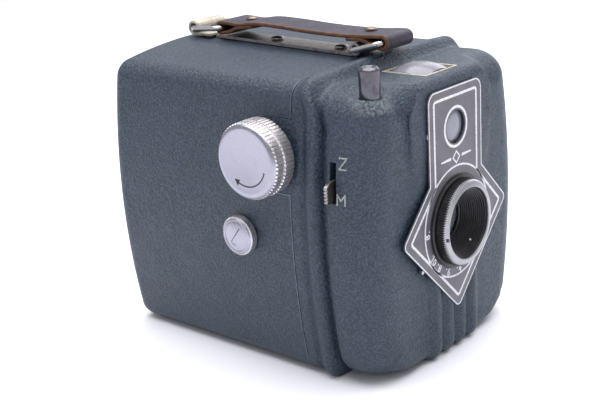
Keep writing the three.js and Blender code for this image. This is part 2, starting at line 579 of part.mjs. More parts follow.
// ---- Carrying handle ----
// A closed wire loop between two cross bars, given by the bars' middles.
function wireLoop(from, to) {
  const CORNER = 1.9;
  const SIDES = 7;
  const length = Math.hypot(to.y - from.y, to.z - from.z);
  const [uy, uz] = [(to.y - from.y) / length, (to.z - from.z) / length];
  const half = LOOP_HALF;
  const corners = [[half - CORNER, length - CORNER, 0], [CORNER - half, length - CORNER, 90],
    [CORNER - half, CORNER, 180], [half - CORNER, CORNER, 270]];
  const path = corners.flatMap(([x, a, start]) => arc(x, a, CORNER, start, start + 90, 3));
  const points = [];
  path.forEach(([x, a], i) => {
    const [px, pa] = path[(i + path.length - 1) % path.length];
    const [nx, na] = path[(i + 1) % path.length];
    const size = Math.hypot(nx - px, na - pa);
    const [ox, oa] = [(na - pa) / size, -(nx - px) / size];
    for (let k = 0; k < SIDES; k += 1) {
      const angle = (k / SIDES) * 2 * Math.PI;
      const [out, up] = [WIRE * Math.cos(angle), WIRE * Math.sin(angle)];
      const run = a + out * oa;
      points.push(x + out * ox, from.y + run * uy - up * uz, from.z + run * uz + up * uy);
    }
  });
  const index = [];
  for (let i = 0; i < path.length; i += 1) {
    const next = (i + 1) % path.length;
    for (let k = 0; k < SIDES; k += 1) {
      const turn = (k + 1) % SIDES;
      const [a, b, c, d] = [i * SIDES + k, i * SIDES + turn, next * SIDES + turn, next * SIDES + k];
      index.push(a, d, b, b, d, c);
    }
  }
  const geometry = new THREE.BufferGeometry();
  geometry.setAttribute('position', new THREE.Float32BufferAttribute(points, 3));
  geometry.setIndex(index);
  const body = solid(geometry);
  return body.volume() > 0 ? body : solid(geometry.setIndex(index.reverse()));
}

function handleParts() {
  const surface = (d) => REAR.top + REAR.topBulge + TOP_RISE * (d - SEAM);
  const THICK = 1;
  const EYE = 2.2;
  const [start, end] = [34.6, 97];
  const strip = shapeOf([
    [depth(start), surface(start) + GAP], [depth(end), surface(end) + GAP],
    [depth(end), surface(end) + GAP + THICK], [depth(start), surface(start) + GAP + THICK],
  ]);
  const eye = aboutX(disc(EYE, -5, 5), FRONT_PIVOT.y, FRONT_PIVOT.z, 20);
  const bore = aboutX(disc(1.3, -7, 7), FRONT_PIVOT.y, FRONT_PIVOT.z, 16);
  const RIVETS = [44, 72];
  const rivetHoles = RIVETS.map((d) => aboutZ(disc(1.4, 90, 105), 0, depth(d), 16));
  piece('handle_strip', cut(joined([alongX(strip, -5, 5), eye]), [bore, ...rivetHoles]), STEEL);
  RIVETS.forEach((d, i) => {
    const low = surface(d) + GAP;
    const top = low + THICK;
    const profile = [
      [0, low], [1.1, low], [1.1, top + 0.25], [2.3, top + 0.25], [1.6, top + 1], [0, top + 1.2],
    ];
    piece(['strip_rivet_front', 'strip_rivet_rear'][i], aboutZ(profile, 0, depth(d), 20), STEEL);
  });

  // The rear eye is a sheet rolled round the loop's bar, with its foot flat on the shell.
  const { y, z } = REAR_PIVOT;
  const [outer, inner] = [2.6, 1.7];
  const foot = z - outer;
  const roll = [...arc(y, z, outer, -90, 170, 16), ...arc(y, z, inner, 170, -90, 16),
    [depth(97.6), foot + outer - inner], [depth(97.6), foot]];
  piece('rear_eye', alongX(shapeOf(roll.reverse()), -7.2, 7.2), CREAM);

  piece('rear_loop', wireLoop(REAR_PIVOT, REAR_FOLD), STEEL);
  piece('front_loop', wireLoop(FRONT_PIVOT, FRONT_FOLD), STEEL);

  const over = ({ y: foldY, z: foldZ }) => [foldY, foldZ + STRAP.eye - STRAP.thick / 2];
  const hump = [[84, 59.1], [76.5, 59.9], [66, 59.6], [52, 58.7], [38, 58.3]]
    .map(([d, h]) => [depth(d), height(h)]);
  const spine = new THREE.CatmullRomCurve3([over(REAR_FOLD), ...hump, over(FRONT_FOLD)]
    .map(([a, b]) => new THREE.Vector3(a, b, 0)));
  const edge = (side) => Array.from({ length: 13 }, (_, i) => {
    const at = spine.getPoint(i / 12);
    const along = spine.getTangent(i / 12);
    return [at.x + (side * along.y * STRAP.thick) / 2, at.y - (side * along.x * STRAP.thick) / 2];
  });
  const band = alongX(shapeOf([...edge(-1), ...edge(1).reverse()]), -STRAP.half, STRAP.half);
  const returns = [[FRONT_FOLD, -1], [REAR_FOLD, 1]].map(([fold, way]) => {
    const sheet = [[0, -STRAP.eye], [-way * 14, 0.2], [-way * 14, 1.6], [0, -STRAP.hole]]
      .map(([a, b]) => [fold.y + a, fold.z + b]);
    return alongX(shapeOf(way > 0 ? sheet.reverse() : sheet), -STRAP.half, STRAP.half);
  });
  const folds = [FRONT_FOLD, REAR_FOLD];
  const eyes = folds.map((fold) => aboutX(disc(STRAP.eye, -STRAP.half, STRAP.half), fold.y, fold.z, 18));
  const bores = folds.map((fold) => aboutX(disc(STRAP.hole, -9, 9), fold.y, fold.z, 24));
  const rivets = [['strap_rivet_front', 31.5, 58.5], ['strap_rivet_rear', 83.5, 59.2]];
  const shanks = rivets.map(([, d]) => aboutZ(disc(1.3, 95, 112), 0, depth(d), 16));
  piece('handle_strap', cut(joined([band, ...returns, ...eyes]), [...bores, ...shanks]), LEATHER);
  rivets.forEach(([name, d, h]) => {
    const top = height(h) + STRAP.thick / 2 + 0.45;
    const profile = [[0, top - 3], [1, top - 3], [1, top], [2.4, top], [1.9, top + 0.5], [0, top + 0.75]];
    piece(name, aboutZ(profile, 0, depth(d), 20), BRASS);
  });
}

rearShell();
frontCasing();
facePlate();
lensParts();
releaseParts();
timeLever();
finderParts();
filmParts();
windingParts();
latchParts();
backParts();
handleParts();

export default camera;
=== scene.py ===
"""The looks of a metal box camera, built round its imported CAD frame.

Sizes are in millimetres in the camera's own frame, and become metres when a mesh is made.
+Z is up, -Y is the way the lens points, and a depth is measured back from the face plate's front.
"""

import math

import bmesh
import bpy
from mathutils import Matrix, Vector
from mathutils.bvhtree import BVHTree


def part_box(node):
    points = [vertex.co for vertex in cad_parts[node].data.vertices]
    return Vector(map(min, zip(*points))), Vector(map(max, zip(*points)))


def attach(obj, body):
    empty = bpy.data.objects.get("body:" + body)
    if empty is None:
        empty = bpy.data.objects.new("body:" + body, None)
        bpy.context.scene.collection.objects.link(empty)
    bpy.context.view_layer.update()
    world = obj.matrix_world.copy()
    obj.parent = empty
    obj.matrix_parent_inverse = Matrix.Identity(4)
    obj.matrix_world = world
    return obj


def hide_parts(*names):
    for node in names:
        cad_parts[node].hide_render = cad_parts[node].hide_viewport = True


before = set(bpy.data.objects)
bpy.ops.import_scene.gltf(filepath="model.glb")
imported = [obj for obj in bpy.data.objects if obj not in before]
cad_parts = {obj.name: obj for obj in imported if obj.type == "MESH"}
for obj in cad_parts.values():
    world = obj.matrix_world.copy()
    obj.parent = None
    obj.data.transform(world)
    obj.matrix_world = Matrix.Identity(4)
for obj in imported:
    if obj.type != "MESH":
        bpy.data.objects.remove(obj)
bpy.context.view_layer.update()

MM = 0.001
BODY_DEPTH = 115.0
LENS_Z = 46.0
GAP = 0.3


def depth(d):
    return d - BODY_DEPTH / 2


def height(h):
    return h + LENS_Z


def box(node):
    """A CAD node's lowest and highest corners in millimetres."""
    low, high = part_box(node)
    return low / MM, high / MM


def centre(node):
    low, high = box(node)
    return (low + high) / 2


def mix(a, b, t):
    return a + (b - a) * t


def ease(low, high, value):
    """0 below low, 1 above high, smooth between them. Low may be above high."""
    t = min(max((value - low) / (high - low), 0), 1)
    return t * t * (3 - 2 * t)


def part_way(a, b, steps):
    """Points in equal steps from a towards b, with a and without b."""
    return [tuple(mix(p, q, k / steps) for p, q in zip(a, b)) for k in range(steps)]


def polar(cx, cy, radius, angle):
    """The point at an angle in degrees on a circle."""
    a = math.radians(angle)
    return cx + radius * math.cos(a), cy + radius * math.sin(a)


def arc(cx, cy, radius, start, end, steps):
    return [polar(cx, cy, radius, mix(start, end, i / steps)) for i in range(steps + 1)]


def rounded(half, low, top, r, steps):
    """The four corner arcs of a rounded rectangle, anticlockwise from the upper right one."""
    middles = [(half - r, top - r), (r - half, top - r), (r - half, low + r), (half - r, low + r)]
    return [arc(x, z, r, 90 * i, 90 * i + 90, steps) for i, (x, z) in enumerate(middles)]


def spline(points, steps):
    """A Catmull-Rom curve through points of any length, with that many steps between each pair."""
    ends = [points[0], *points, points[-1]]
    curve = []
    for p0, p1, p2, p3 in zip(ends, ends[1:], ends[2:], ends[3:]):
        for k in range(steps):
            t = k / steps
            curve.append(tuple(
                0.5 * (2 * b + (c - a) * t + (2 * a - 5 * b + 4 * c - d) * t * t
                       + (3 * b - a - 3 * c + d) * t ** 3)
                for a, b, c, d in zip(p0, p1, p2, p3)
            ))
    return curve + [tuple(points[-1])]


# ---- Materials ----
class Nodes:
    """A node material whose textures follow the object's own coordinates."""

    def __init__(self, name):
        self.material = bpy.data.materials.new(name)
        self.material.use_nodes = True
        self.tree = self.material.node_tree
        self.shader = self.tree.nodes["Principled BSDF"]
        self.place = self.add("ShaderNodeTexCoord").outputs["Object"]

    def feed(self, socket, value):
        """Links an output to a socket, or sets the socket to a plain value."""
        if isinstance(value, bpy.types.NodeSocket):
            self.tree.links.new(value, socket)
        else:
            socket.default_value = value

    def add(self, kind, inputs=None, **settings):
        node = self.tree.nodes.new(kind)
        for key, value in settings.items():
            setattr(node, key, value)
        for key, value in (inputs or {}).items():
            self.feed(node.inputs[key], value)
        return node

    def scaled(self, size, stretch=(1, 1, 1)):
        """Coordinates in which that many millimetres, stretched along the axes, are one unit."""
        scale = [1 / (size * MM * s) for s in stretch]
        return self.add("ShaderNodeMapping", {"Vector": self.place, "Scale": scale}).outputs["Vector"]

    def noise(self, size, detail=3.0, stretch=(1, 1, 1), roughness=0.55):
        """Noise with features of about that size in millimetres, stretched along the axes."""
        inputs = {"Vector": self.scaled(size, stretch), "Scale": 1.0, "Detail": detail,
                  "Roughness": roughness}
        return self.add("ShaderNodeTexNoise", inputs).outputs["Fac"]

    def cells(self, size):
        inputs = {"Vector": self.scaled(size), "Scale": 1.0}
        return self.add("ShaderNodeTexVoronoi", inputs, feature="SMOOTH_F1").outputs["Distance"]

    def remap(self, value, low=0.3, high=0.7, out_low=0.0, out_high=1.0):
        inputs = {"Value": value, "From Min": low, "From Max": high, "To Min": out_low, "To Max": out_high}
        return self.add("ShaderNodeMapRange", inputs).outputs["Result"]

    def times(self, a, b):
        return self.add("ShaderNodeMath", {0: a, 1: b}, operation="MULTIPLY").outputs[0]

    def blend(self, factor, a, b):
        """Mixes two colours, each a tuple or an output."""
        a, b = [(*colour, 1) if isinstance(colour, tuple) else colour for colour in (a, b)]
        mixed = self.add("ShaderNodeMix", {"Factor": factor, "A": a, "B": b}, data_type="RGBA")
        return mixed.outputs["Result"]

    def wear_and_highlight(self):
        """How worn a place is, and beside the release button how much painted highlight it carries, from the
        number painted on the mesh's vertices.
        """
        return self.add("ShaderNodeAttribute", attribute_name="wear_and_highlight").outputs["Fac"]

    def bump(self, value, distance, strength=1.0):
        """Adds a bump of that height in millimetres on top of any there already."""
        inputs = {"Height": value, "Distance": distance * MM, "Strength": strength}
        normal = self.shader.inputs["Normal"]
        if normal.is_linked:
            inputs["Normal"] = normal.links[0].from_socket
        self.feed(normal, self.add("ShaderNodeBump", inputs).outputs["Normal"])

    def set(self, **values):
        """Feeds the shader's inputs, with underscores for the spaces in their names."""
        for key, value in values.items():
            self.feed(self.shader.inputs[key.replace("_", " ")], value)


def enamel():
    """Blue-grey wrinkle enamel with painted highlights on its wrinkles' crests, rubbed pale where the mesh
    says so.
    """
    m = Nodes("wrinkle_enamel")
    patch = m.remap(m.noise(24, 4))
    base = m.blend(patch, (0.0125, 0.0180, 0.0315), (0.0170, 0.0242, 0.0410))
    fine = m.noise(0.62, 3, roughness=0.6)
    # Where the fine wrinkles stand highest the colour is painted a paler blue: a painted highlight on their
    # crests, from the same noise that the bump below raises.
    grain = m.times(m.remap(fine, 0.44, 0.60), 0.7)
    base = m.blend(grain, base, (0.047, 0.080, 0.125))
    speck = m.remap(m.noise(0.9, 3), 0.4, 0.62)
    # The mesh's number gives real wear, and in the button's dish a painted highlight, as pale rubbed enamel.
    rubbed = m.times(m.remap(m.wear_and_highlight(), 0.12, 0.75), speck)
    base = m.blend(m.times(rubbed, 0.6), base, (0.20, 0.23, 0.24))
    m.set(Base_Color=base, Roughness=m.remap(m.noise(5, 3), 0.3, 0.7, 0.42, 0.54))
    m.bump(m.cells(0.85), 0.20)
    m.bump(fine, 0.30)
    return m.material


def mottled(name, spots, colours, grain, roughness, bump=None, **settings):
    """A finish that varies between two colours and between two roughnesses. spots and grain are a noise's
    size, detail and limits, and bump is a noise's size and detail, then its height and strength."""
    m = Nodes(name)
    m.set(Base_Color=m.blend(m.remap(m.noise(*spots[:2]), *spots[2:]), *colours),
          Roughness=m.remap(m.noise(*grain[:2]), *grain[2:], *roughness), **settings)
    if bump:
        m.bump(m.noise(*bump[:2]), *bump[2:])
    return m.material


def black_enamel(name, base, roughness):
    dusty = tuple(2.4 * c for c in base)
    return mottled(name, (3, 5, 0.45, 0.75), (base, dusty), (2, 4, 0.3, 0.7),
                   (roughness - 0.07, roughness + 0.1), (0.4, 2, 0.01, 0.5))


def glass(name, tint, roughness=0.04, clear=0.75):
    shaded = tuple(0.9 * c for c in tint)
    return mottled(name, (7, 4, 0.35, 0.75), (tint, shaded), (3, 5, 0.45, 0.8),
                   (roughness, roughness + 0.1), Transmission_Weight=clear, IOR=1.52)


def metal(name, base, dark, roughness, brushed=(1, 1, 1), stain=0.5, size=0.6):
    """Bare metal with fine scratches along the longest of its brushed axes, and dull stains."""
    m = Nodes(name)
    lines = m.noise(size, 3, brushed)
    spots = m.remap(m.noise(3.2, 5), 0.5, 0.72)
    tone = m.blend(m.remap(lines), tuple(0.86 * c for c in base), base)
    m.set(Base_Color=m.blend(m.times(spots, stain), tone, dark), Metallic=1.0,
          Roughness=m.remap(lines, 0.3, 0.7, roughness - 0.06, roughness + 0.09))
    m.bump(lines, 0.006, 0.6)
    return m.material


def leather():
    """Black grained leather, rubbed brown along its edges."""
    m = Nodes("leather")
    dark = m.blend(m.remap(m.noise(4, 4), 0.35, 0.7), (0.015, 0.012, 0.024), (0.042, 0.034, 0.060))
    worn = m.times(m.wear_and_highlight(), m.remap(m.noise(1.3, 4), 0.4, 0.62))
    m.set(Base_Color=m.blend(worn, dark, (0.16, 0.075, 0.04)),
          Roughness=m.remap(m.noise(2.5, 4), 0.3, 0.7, 0.40, 0.62))
    m.bump(m.cells(0.6), 0.09, 0.7)
    m.bump(m.noise(3.2, 4), 0.2, 0.5)
    return m.material


def raw_leather():
    """Leather's bare brown flesh side and its cut edges."""
    m = Nodes("raw_leather")
    fibre = m.remap(m.noise(0.5, 4, (1, 5, 1)))
    m.set(Base_Color=m.blend(fibre, (0.050, 0.020, 0.010), (0.155, 0.068, 0.032)),
          Roughness=m.remap(m.noise(1.5, 3), 0.3, 0.7, 0.7, 0.88))
    m.bump(m.noise(0.35, 3), 0.08, 0.8)
    return m.material


def cream():
    """Cream lacquer over steel, rubbed through in places."""
    m = Nodes("cream_lacquer")
    rubbed = m.remap(m.noise(1.7, 5), 0.5, 0.68)
    tone = m.blend(m.remap(m.noise(5, 3)), (0.56, 0.52, 0.42), (0.44, 0.41, 0.34))
    m.set(Base_Color=m.blend(m.times(rubbed, 0.7), tone, (0.24, 0.21, 0.18)), Metallic=0.35,
          Roughness=m.remap(m.noise(2, 4), 0.3, 0.7, 0.36, 0.55))
    m.bump(rubbed, 0.02, 0.5)
    return m.material


ENAMEL = enamel()
RUBBED = metal("rubbed_edge", (0.20, 0.24, 0.30), (0.05, 0.065, 0.085), 0.45, stain=0.9)
BLACK = black_enamel("black_enamel", (0.012, 0.012, 0.014), 0.42)
MATT_BLACK = black_enamel("matt_black", (0.016, 0.016, 0.018), 0.62)
FUNNEL_BLACK = black_enamel("funnel_black", (0.011, 0.010, 0.013), 0.4)
ALUMINIUM = metal("aluminium", (0.405, 0.40, 0.475), (0.33, 0.32, 0.37), 0.30, stain=0.35)
KNURL = metal("knurled_aluminium", (0.78, 0.75, 0.77), (0.44, 0.38, 0.36), 0.42, stain=0.4)
CHROME = metal("bright_ring", (0.40, 0.40, 0.425), (0.26, 0.26, 0.28), 0.38, stain=0.4, size=0.4)
DARK_STEEL = metal("dark_steel", (0.10, 0.095, 0.10), (0.04, 0.035, 0.035), 0.42, stain=0.5)
STEEL = metal("worn_steel", (0.46, 0.42, 0.41), (0.17, 0.12, 0.10), 0.33, (1, 6, 1), 0.75)
WIRE_STEEL = metal("polished_wire", (0.62, 0.61, 0.63), (0.30, 0.26, 0.24), 0.22, stain=0.4)
BUTTON_STEEL = metal("button_steel", (0.145, 0.142, 0.165), (0.035, 0.032, 0.034), 0.25, (1, 1, 14), 0.6)
BRASS = metal("old_brass", (0.30, 0.245, 0.19), (0.12, 0.085, 0.065), 0.42, stain=0.8)
LEATHER = leather()
RAW_LEATHER = raw_leather()
PRINTED = mottled("plate_enamel", (6, 5, 0.35, 0.7), ((0.088, 0.084, 0.101), (0.116, 0.110, 0.130)),
                  (4, 4, 0.3, 0.7), (0.34, 0.48), (0.3, 2, 0.006, 0.5))
WHITE = mottled("white_print", (0.8, 4, 0.45, 0.7), ((0.74, 0.74, 0.78), (0.48, 0.48, 0.52)),
                (1, 2, 0.3, 0.7), (0.4, 0.55))
LETTER = mottled("letter_paint", (0.5, 4, 0.42, 0.66), ((0.36, 0.38, 0.38), (0.15, 0.17, 0.18)),
                 (1, 2, 0.3, 0.7), (0.5, 0.65))
CREAM = cream()
LENS_GLASS = glass("lens_glass", (0.62, 0.66, 0.78))
FINDER_GLASS = glass("finder_glass", (0.30, 0.29, 0.35), 0.22, 0.35)
FRONT_GLASS = glass("front_glass", (0.32, 0.33, 0.40), 0.08, 0.3)
RED = mottled("red_celluloid", (5, 3, 0.3, 0.7), ((0.42, 0.01, 0.008), (0.25, 0.004, 0.004)),
              (2, 3, 0.3, 0.7), (0.12, 0.25), Transmission_Weight=0.6, IOR=1.49)
MIRROR = mottled("silvering", (4, 4, 0.4, 0.75), ((0.90, 0.91, 0.94), (0.72, 0.72, 0.76)),
                 (3, 4, 0.4, 0.8), (0.03, 0.12), Metallic=1.0)
SLOT_MATERIALS = {
    "paint": [ENAMEL, RUBBED],
    "black_paint": [BLACK, MATT_BLACK, FUNNEL_BLACK],
    "aluminium": [ALUMINIUM, KNURL, CHROME],
    "bare_steel": [DARK_STEEL, STEEL, WIRE_STEEL, BUTTON_STEEL],
    "brass": [BRASS],
    "leather": [LEATHER, RAW_LEATHER],
    "printed_plate": [PRINTED, WHITE, LETTER],
    "cream_metal": [CREAM],
    "glass": [LENS_GLASS, FINDER_GLASS, FRONT_GLASS],
    "red_filter": [RED],
    "mirror": [MIRROR],
}
SLOTS = {material: slot for slot, materials in SLOT_MATERIALS.items() for material in materials}


# ---- Meshes ----
def added(name, data):
    """A new object in the scene."""
    obj = bpy.data.objects.new(name, data)
    bpy.context.scene.collection.objects.link(obj)
    return obj


def build(name, shapes, materials, zones=None):
    """One object from (vertices, faces) shapes in millimetres. zones gives a material number per face."""
    mesh = bpy.data.meshes.new(name)
    verts, faces = [], []
    for points, polygons in shapes:
        start = len(verts)
        verts += [Vector(p) * MM for p in points]
        faces += [tuple(start + i for i in polygon) for polygon in polygons]
    mesh.from_pydata(verts, [], faces)
    for material in materials:
        mesh.materials.append(material)
    if zones:
        mesh.polygons.foreach_set("material_index", zones)
    shape = bmesh.new()
    shape.from_mesh(mesh)
    bmesh.ops.remove_doubles(shape, verts=shape.verts, dist=1e-7)
    bmesh.ops.recalc_face_normals(shape, faces=shape.faces)
    shape.to_mesh(mesh)
    shape.free()
    return added(name, mesh)


def applied(obj):
    """Makes an object's modifiers part of its mesh."""
    graph = bpy.context.evaluated_depsgraph_get()
    mesh = bpy.data.meshes.new_from_object(obj.evaluated_get(graph), depsgraph=graph)
    obj.modifiers.clear()
    obj.data = mesh
    return obj


def combine(obj, tools, operation):
    """Joins tools to an object, cuts them out of it or keeps what they share. The tools are used up."""
    for tool in tools:
        if obj.data.materials and not tool.data.materials:
            tool.data.materials.append(obj.data.materials[0])
        modifier = obj.modifiers.new("combine", "BOOLEAN")
        modifier.operation = operation
        modifier.solver = "MANIFOLD"
        modifier.object = tool
    bpy.context.view_layer.update()
    applied(obj)
    for tool in tools:
        bpy.data.objects.remove(tool)
    return obj


def bored(obj, *tools):
    return combine(obj, tools, "DIFFERENCE")


def bevelled(obj, width, segments=2):
    modifier = obj.modifiers.new("edges", "BEVEL")
    modifier.width = width * MM
    modifier.segments = segments
    modifier.limit_method = "ANGLE"
    modifier.angle_limit = math.radians(35)
    return applied(obj)


def place(obj, body, *nodes, crease=38):
    """Shades a finished piece, puts it on its CAD body and hides the CAD nodes it stands for."""
    mesh = obj.data
    mesh.polygons.foreach_set("use_smooth", [True] * len(mesh.polygons))
    mesh.set_sharp_from_angle(angle=math.radians(crease))
    weighted = obj.modifiers.new("shading", "WEIGHTED_NORMAL")
    weighted.keep_sharp = True
    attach(obj, body)
    if nodes:
        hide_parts(*nodes)


def skin(rings, closed=False):
    """A closed surface over rings of equal length: capped at both ends, or joined into a loop."""
    count, total = len(rings[0]), len(rings)
    faces = []
    for r in range(total if closed else total - 1):
        near, far = r * count, (r + 1) % total * count
        for i in range(count):
            j = (i + 1) % count
            faces.append((near + i, near + j, far + j, far + i))
    if not closed:
        faces += [tuple(range(count))[::-1], tuple(range((total - 1) * count, total * count))]
    return [p for ring in rings for p in ring], faces


def on_axis(axis, a, b, along):
    """The point that lies at (a, b) across an axis and that far along it."""
    return {"X": (along, a, b), "Y": (a, along, b), "Z": (a, b, along)}[axis]


def turned(axis, middle, profile, segments, wobble=None):
    """A solid of revolution from a closed profile of (radius, along) pairs. wobble(j, k) is added to
    the radius of profile point j at segment k."""
    u, v = [part for part, name in zip(middle, "XYZ") if name != axis]
    rings = []
    for k in range(segments):
        ring = []
        for j, (radius, along) in enumerate(profile):
            r = radius + (wobble(j, k) if wobble and radius > 0 else 0)
            ring.append(on_axis(axis, *polar(u, v, r, 360 * k / segments), along))
        rings.append(ring)
    return skin(rings, closed=True)


def turned_zones(profile, segments, zone_of):
    """Material numbers for a turned solid's faces, from the profile's point j and the segment k."""
    return [zone_of(j, k) for k in range(segments) for j in range(len(profile))]


def prism(axis, outline, start, end):
    """An outline extruded along an axis. It holds (x, z) pairs for Y, (y, z) for X and (x, y) for Z."""
    return skin([[on_axis(axis, *p, at) for p in outline] for at in (start, end)])


def block(low, high):
    (x0, y0, z0), (x1, y1, z1) = low, high
    return prism("Z", [(x0, y0), (x1, y0), (x1, y1), (x0, y1)], z0, z1)


def solid(shape, name="tool"):
    return build(name, [shape], [])


def plug(axis, middle, radius, start, end, segments):
    """A round bar along an axis, to bore a hole with or to add."""
    profile = [(0, start), (radius, start), (radius, end), (0, end)]
    return solid(turned(axis, middle, profile, segments))


def raised_line(points, width, lift, closed=False):
    """A thin printed line of that width as a closed solid. lift(point, up) gives the 3-D place of a
    2-D point."""
    rings = []
    for i, point in enumerate(points):
        here = Vector(point)
        before = Vector(points[i - 1]) if closed or i else here
        after = Vector(points[(i + 1) % len(points)]) if closed or i < len(points) - 1 else here
        a, b = here - before, after - here
        a, b = (a or b).normalized(), (b or a).normalized()
        tangent = (a + b).normalized()
        aside = Vector((-tangent.y, tangent.x)) * (width / 2 / max(tangent.dot(a), 0.5))
        left, right = here + aside, here - aside
        rings.append([lift(left, 0), lift(left, 1), lift(right, 1), lift(right, 0)])
    return skin(rings, closed)


def paint_wear_and_highlight(obj, value_of):
    """How worn each vertex is, and where it carries a painted highlight, from its place in millimetres."""
    attribute = obj.data.attributes.new("wear_and_highlight", "FLOAT", "POINT")
    for vertex, item in zip(obj.data.vertices, attribute.data):
        item.value = value_of(vertex.co / MM)


# ---- Cross-sections of the two body shells ----
REAR = {"half": 39.9, "top": 96.0, "bottom": 1.2, "radius": 4.6, "crown": 1.2, "belly": 2.0}
FRONT = {"half": 39.8, "top": 95.4, "bottom": 2.5, "radius": 8.8, "crown": -0.9, "belly": 1.2}
SIDE_BULGE = 4.5
TOP_RISE = 0.037                # how much the rear shell's top climbs per millimetre of depth
SEAM = 31.7
BACK_EDGE = 6.0
FRONT_EDGE = 11.6
FACE = 2.0
PANEL = 0.8
WALL = 1.2


def section(shape, inset, fine=True):
    """(x, z) points of a shell's cross-section, drawn in by inset: top first, then anticlockwise."""
    arc_steps, side_steps = (12, (120, 64, 120, 64)) if fine else (5, (12, 8, 12, 8))
    half = shape["half"] - inset
    top, low = shape["top"] - inset, shape["bottom"] + inset
    r = max(shape["radius"] - inset, 0.8)
    arcs = rounded(half, low, top, r, arc_steps)
    loop = []
    for i, points in enumerate(arcs):
        loop += points + part_way(points[-1], arcs[(i + 1) % 4][0], side_steps[i])[1:]
    middle, reach = (top + low) / 2, (top - low) / 2
    bulged = []
    for x, z in loop:
        across, up = x / half, (z - middle) / reach
        crown = shape["crown"] if up > 0 else shape["belly"]
        bulged.append((
            x + SIDE_BULGE * across * max(1 - up * up, 0),
            max(z + crown * up * max(1 - across * across, 0), max(inset, 0)),
        ))
    return bulged


def between(t):
    """A cross-section part way from the rear shell's to the front casing's."""
    return {key: mix(REAR[key], FRONT[key], t) for key in REAR}


def rear_shape(d):
    return {**REAR, "crown": REAR["crown"] + TOP_RISE * (d - SEAM)}


def section_at(d, shape, inset, fine=True):
    return [(x, depth(d), z) for x, z in section(shape, inset, fine)]


def rear_solid(start, inset, fine=True, name="tool"):
    """The rear shell's form from a depth to its closed back, drawn in by inset."""
    turn = BODY_DEPTH - BACK_EDGE
    straight, curve = (14, 12) if fine else (4, 5)
    radius = BACK_EDGE - inset
    steps = [(mix(start, turn, i / straight), inset) for i in range(straight)]
    steps += [(turn + radius * s, inset + radius * (1 - c)) for c, s in arc(0, 0, 1, 0, 90, curve)]
    if fine:
        steps += [(BODY_DEPTH, BACK_EDGE + extra) for extra in (3, 9, 18, 27)]
    return solid(skin([section_at(d, rear_shape(d), step, fine) for d, step in steps]), name)


KNOB = centre("winding_knob")
LATCH = centre("latch_knob")
BUTTON = centre("release_button")
WINDOW = centre("red_window")
COVER_PIVOT = centre("window_rivet")
TAB_RADIUS = 11.6


def tab_prism(margin):
    """A prism through the body's left side in the outline of the winding knob's tab."""
    r = TAB_RADIUS + margin
    front = depth(SEAM - 2)
    end = arc(KNOB.y, KNOB.z, r, -90, 90, 40)
    return solid(prism("X", [(front, KNOB.z - r), *end, (front, KNOB.z + r)], -60, -30))


def side_x(d, z, inset):
    """Where the left side of the rear section lies at a height."""
    left = [point for point in section(rear_shape(d), inset) if point[0] <= 0]
    return min(left, key=lambda point: abs(point[1] - z))[0]


def rim_line():
    """The bare edge of the rear shell: a fine bright line round the seam and the knob's tab."""
    width, proud, sunk = 0.2, 0.03, 0.3
    r = TAB_RADIUS + GAP
    loop = section(rear_shape(SEAM), -proud)
    under = section(rear_shape(SEAM), sunk)
    front, back = depth(SEAM - 0.02), depth(SEAM + width)
    rings = [[(x, front, z), (x, back, z), (ux, back, uz), (ux, front, uz)]
             for (x, z), (ux, uz) in zip(loop, under)]
    kept = [i for i, (x, z) in enumerate(loop) if not (x < 0 and abs(z - KNOB.z) < r)]
    breaks = next(k for k in range(len(kept) - 1) if kept[k + 1] - kept[k] > 1)
    seam = skin([rings[i] for i in kept[breaks + 1:] + kept[:breaks + 1]])

    path = [(mix(depth(SEAM), KNOB.y, k / 8), KNOB.z - r) for k in range(8)]
    path += arc(KNOB.y, KNOB.z, r, -90, 90, 36)
    path += [(mix(KNOB.y, depth(SEAM), (k + 1) / 8), KNOB.z + r) for k in range(8)]

    def lift(point, up):
        d = point[0] + BODY_DEPTH / 2
        return (side_x(d, point[1], sunk - (sunk + proud) * up), point[0], point[1])

    notch = raised_line(path, width, lift)
    place(build("bare_rim", [seam, notch], [RUBBED]), "shell")


def rear_shell():
    shell = rear_solid(SEAM, 0, name="rear_body")
    shell.data.materials.append(ENAMEL)
    bored(shell, rear_solid(SEAM - 1, WALL, fine=False), tab_prism(GAP),
          plug("X", LATCH, 2.4, -50, -38, 24),
          plug("Y", WINDOW, 5, depth(110), depth(118), 48),
          plug("Y", COVER_PIVOT, 1.7, depth(110), depth(118), 24))
    place(shell, "shell", "rear_shell")
    rim_line()


# ---- Front casing ----
PANEL_HALF = 20.5
PANEL_SOFT = 3.6                # half the width over which the panel's sides fade into the face
PANEL_EDGE = 4.2
LOW_EDGE = 4.2                  # rounding of the face's lower edge
GROOVE_FRONT = 17.2             # depth where the groove ends and the casing's side begins
FLUTE = {"pitch": 7.2, "count": 2, "rise": 1.7}
FACE_INSET = 38.0               # inset of the face's innermost ring


def edge_path(face, radius):
    """(depth, inset) steps from the casing's side, round its front edge and in over the face."""
    straight, curve, flat = 6, 16, 40
    turn = face + radius
    path = [(mix(GROOVE_FRONT, turn, i / straight), 0) for i in range(1, straight + 1)]
    path += [(turn - radius * s, radius * (1 - c)) for c, s in arc(0, 0, 1, 0, 90, curve)[1:]]
    return path + [(face, mix(radius, FACE_INSET, i / flat)) for i in range(1, flat + 1)]


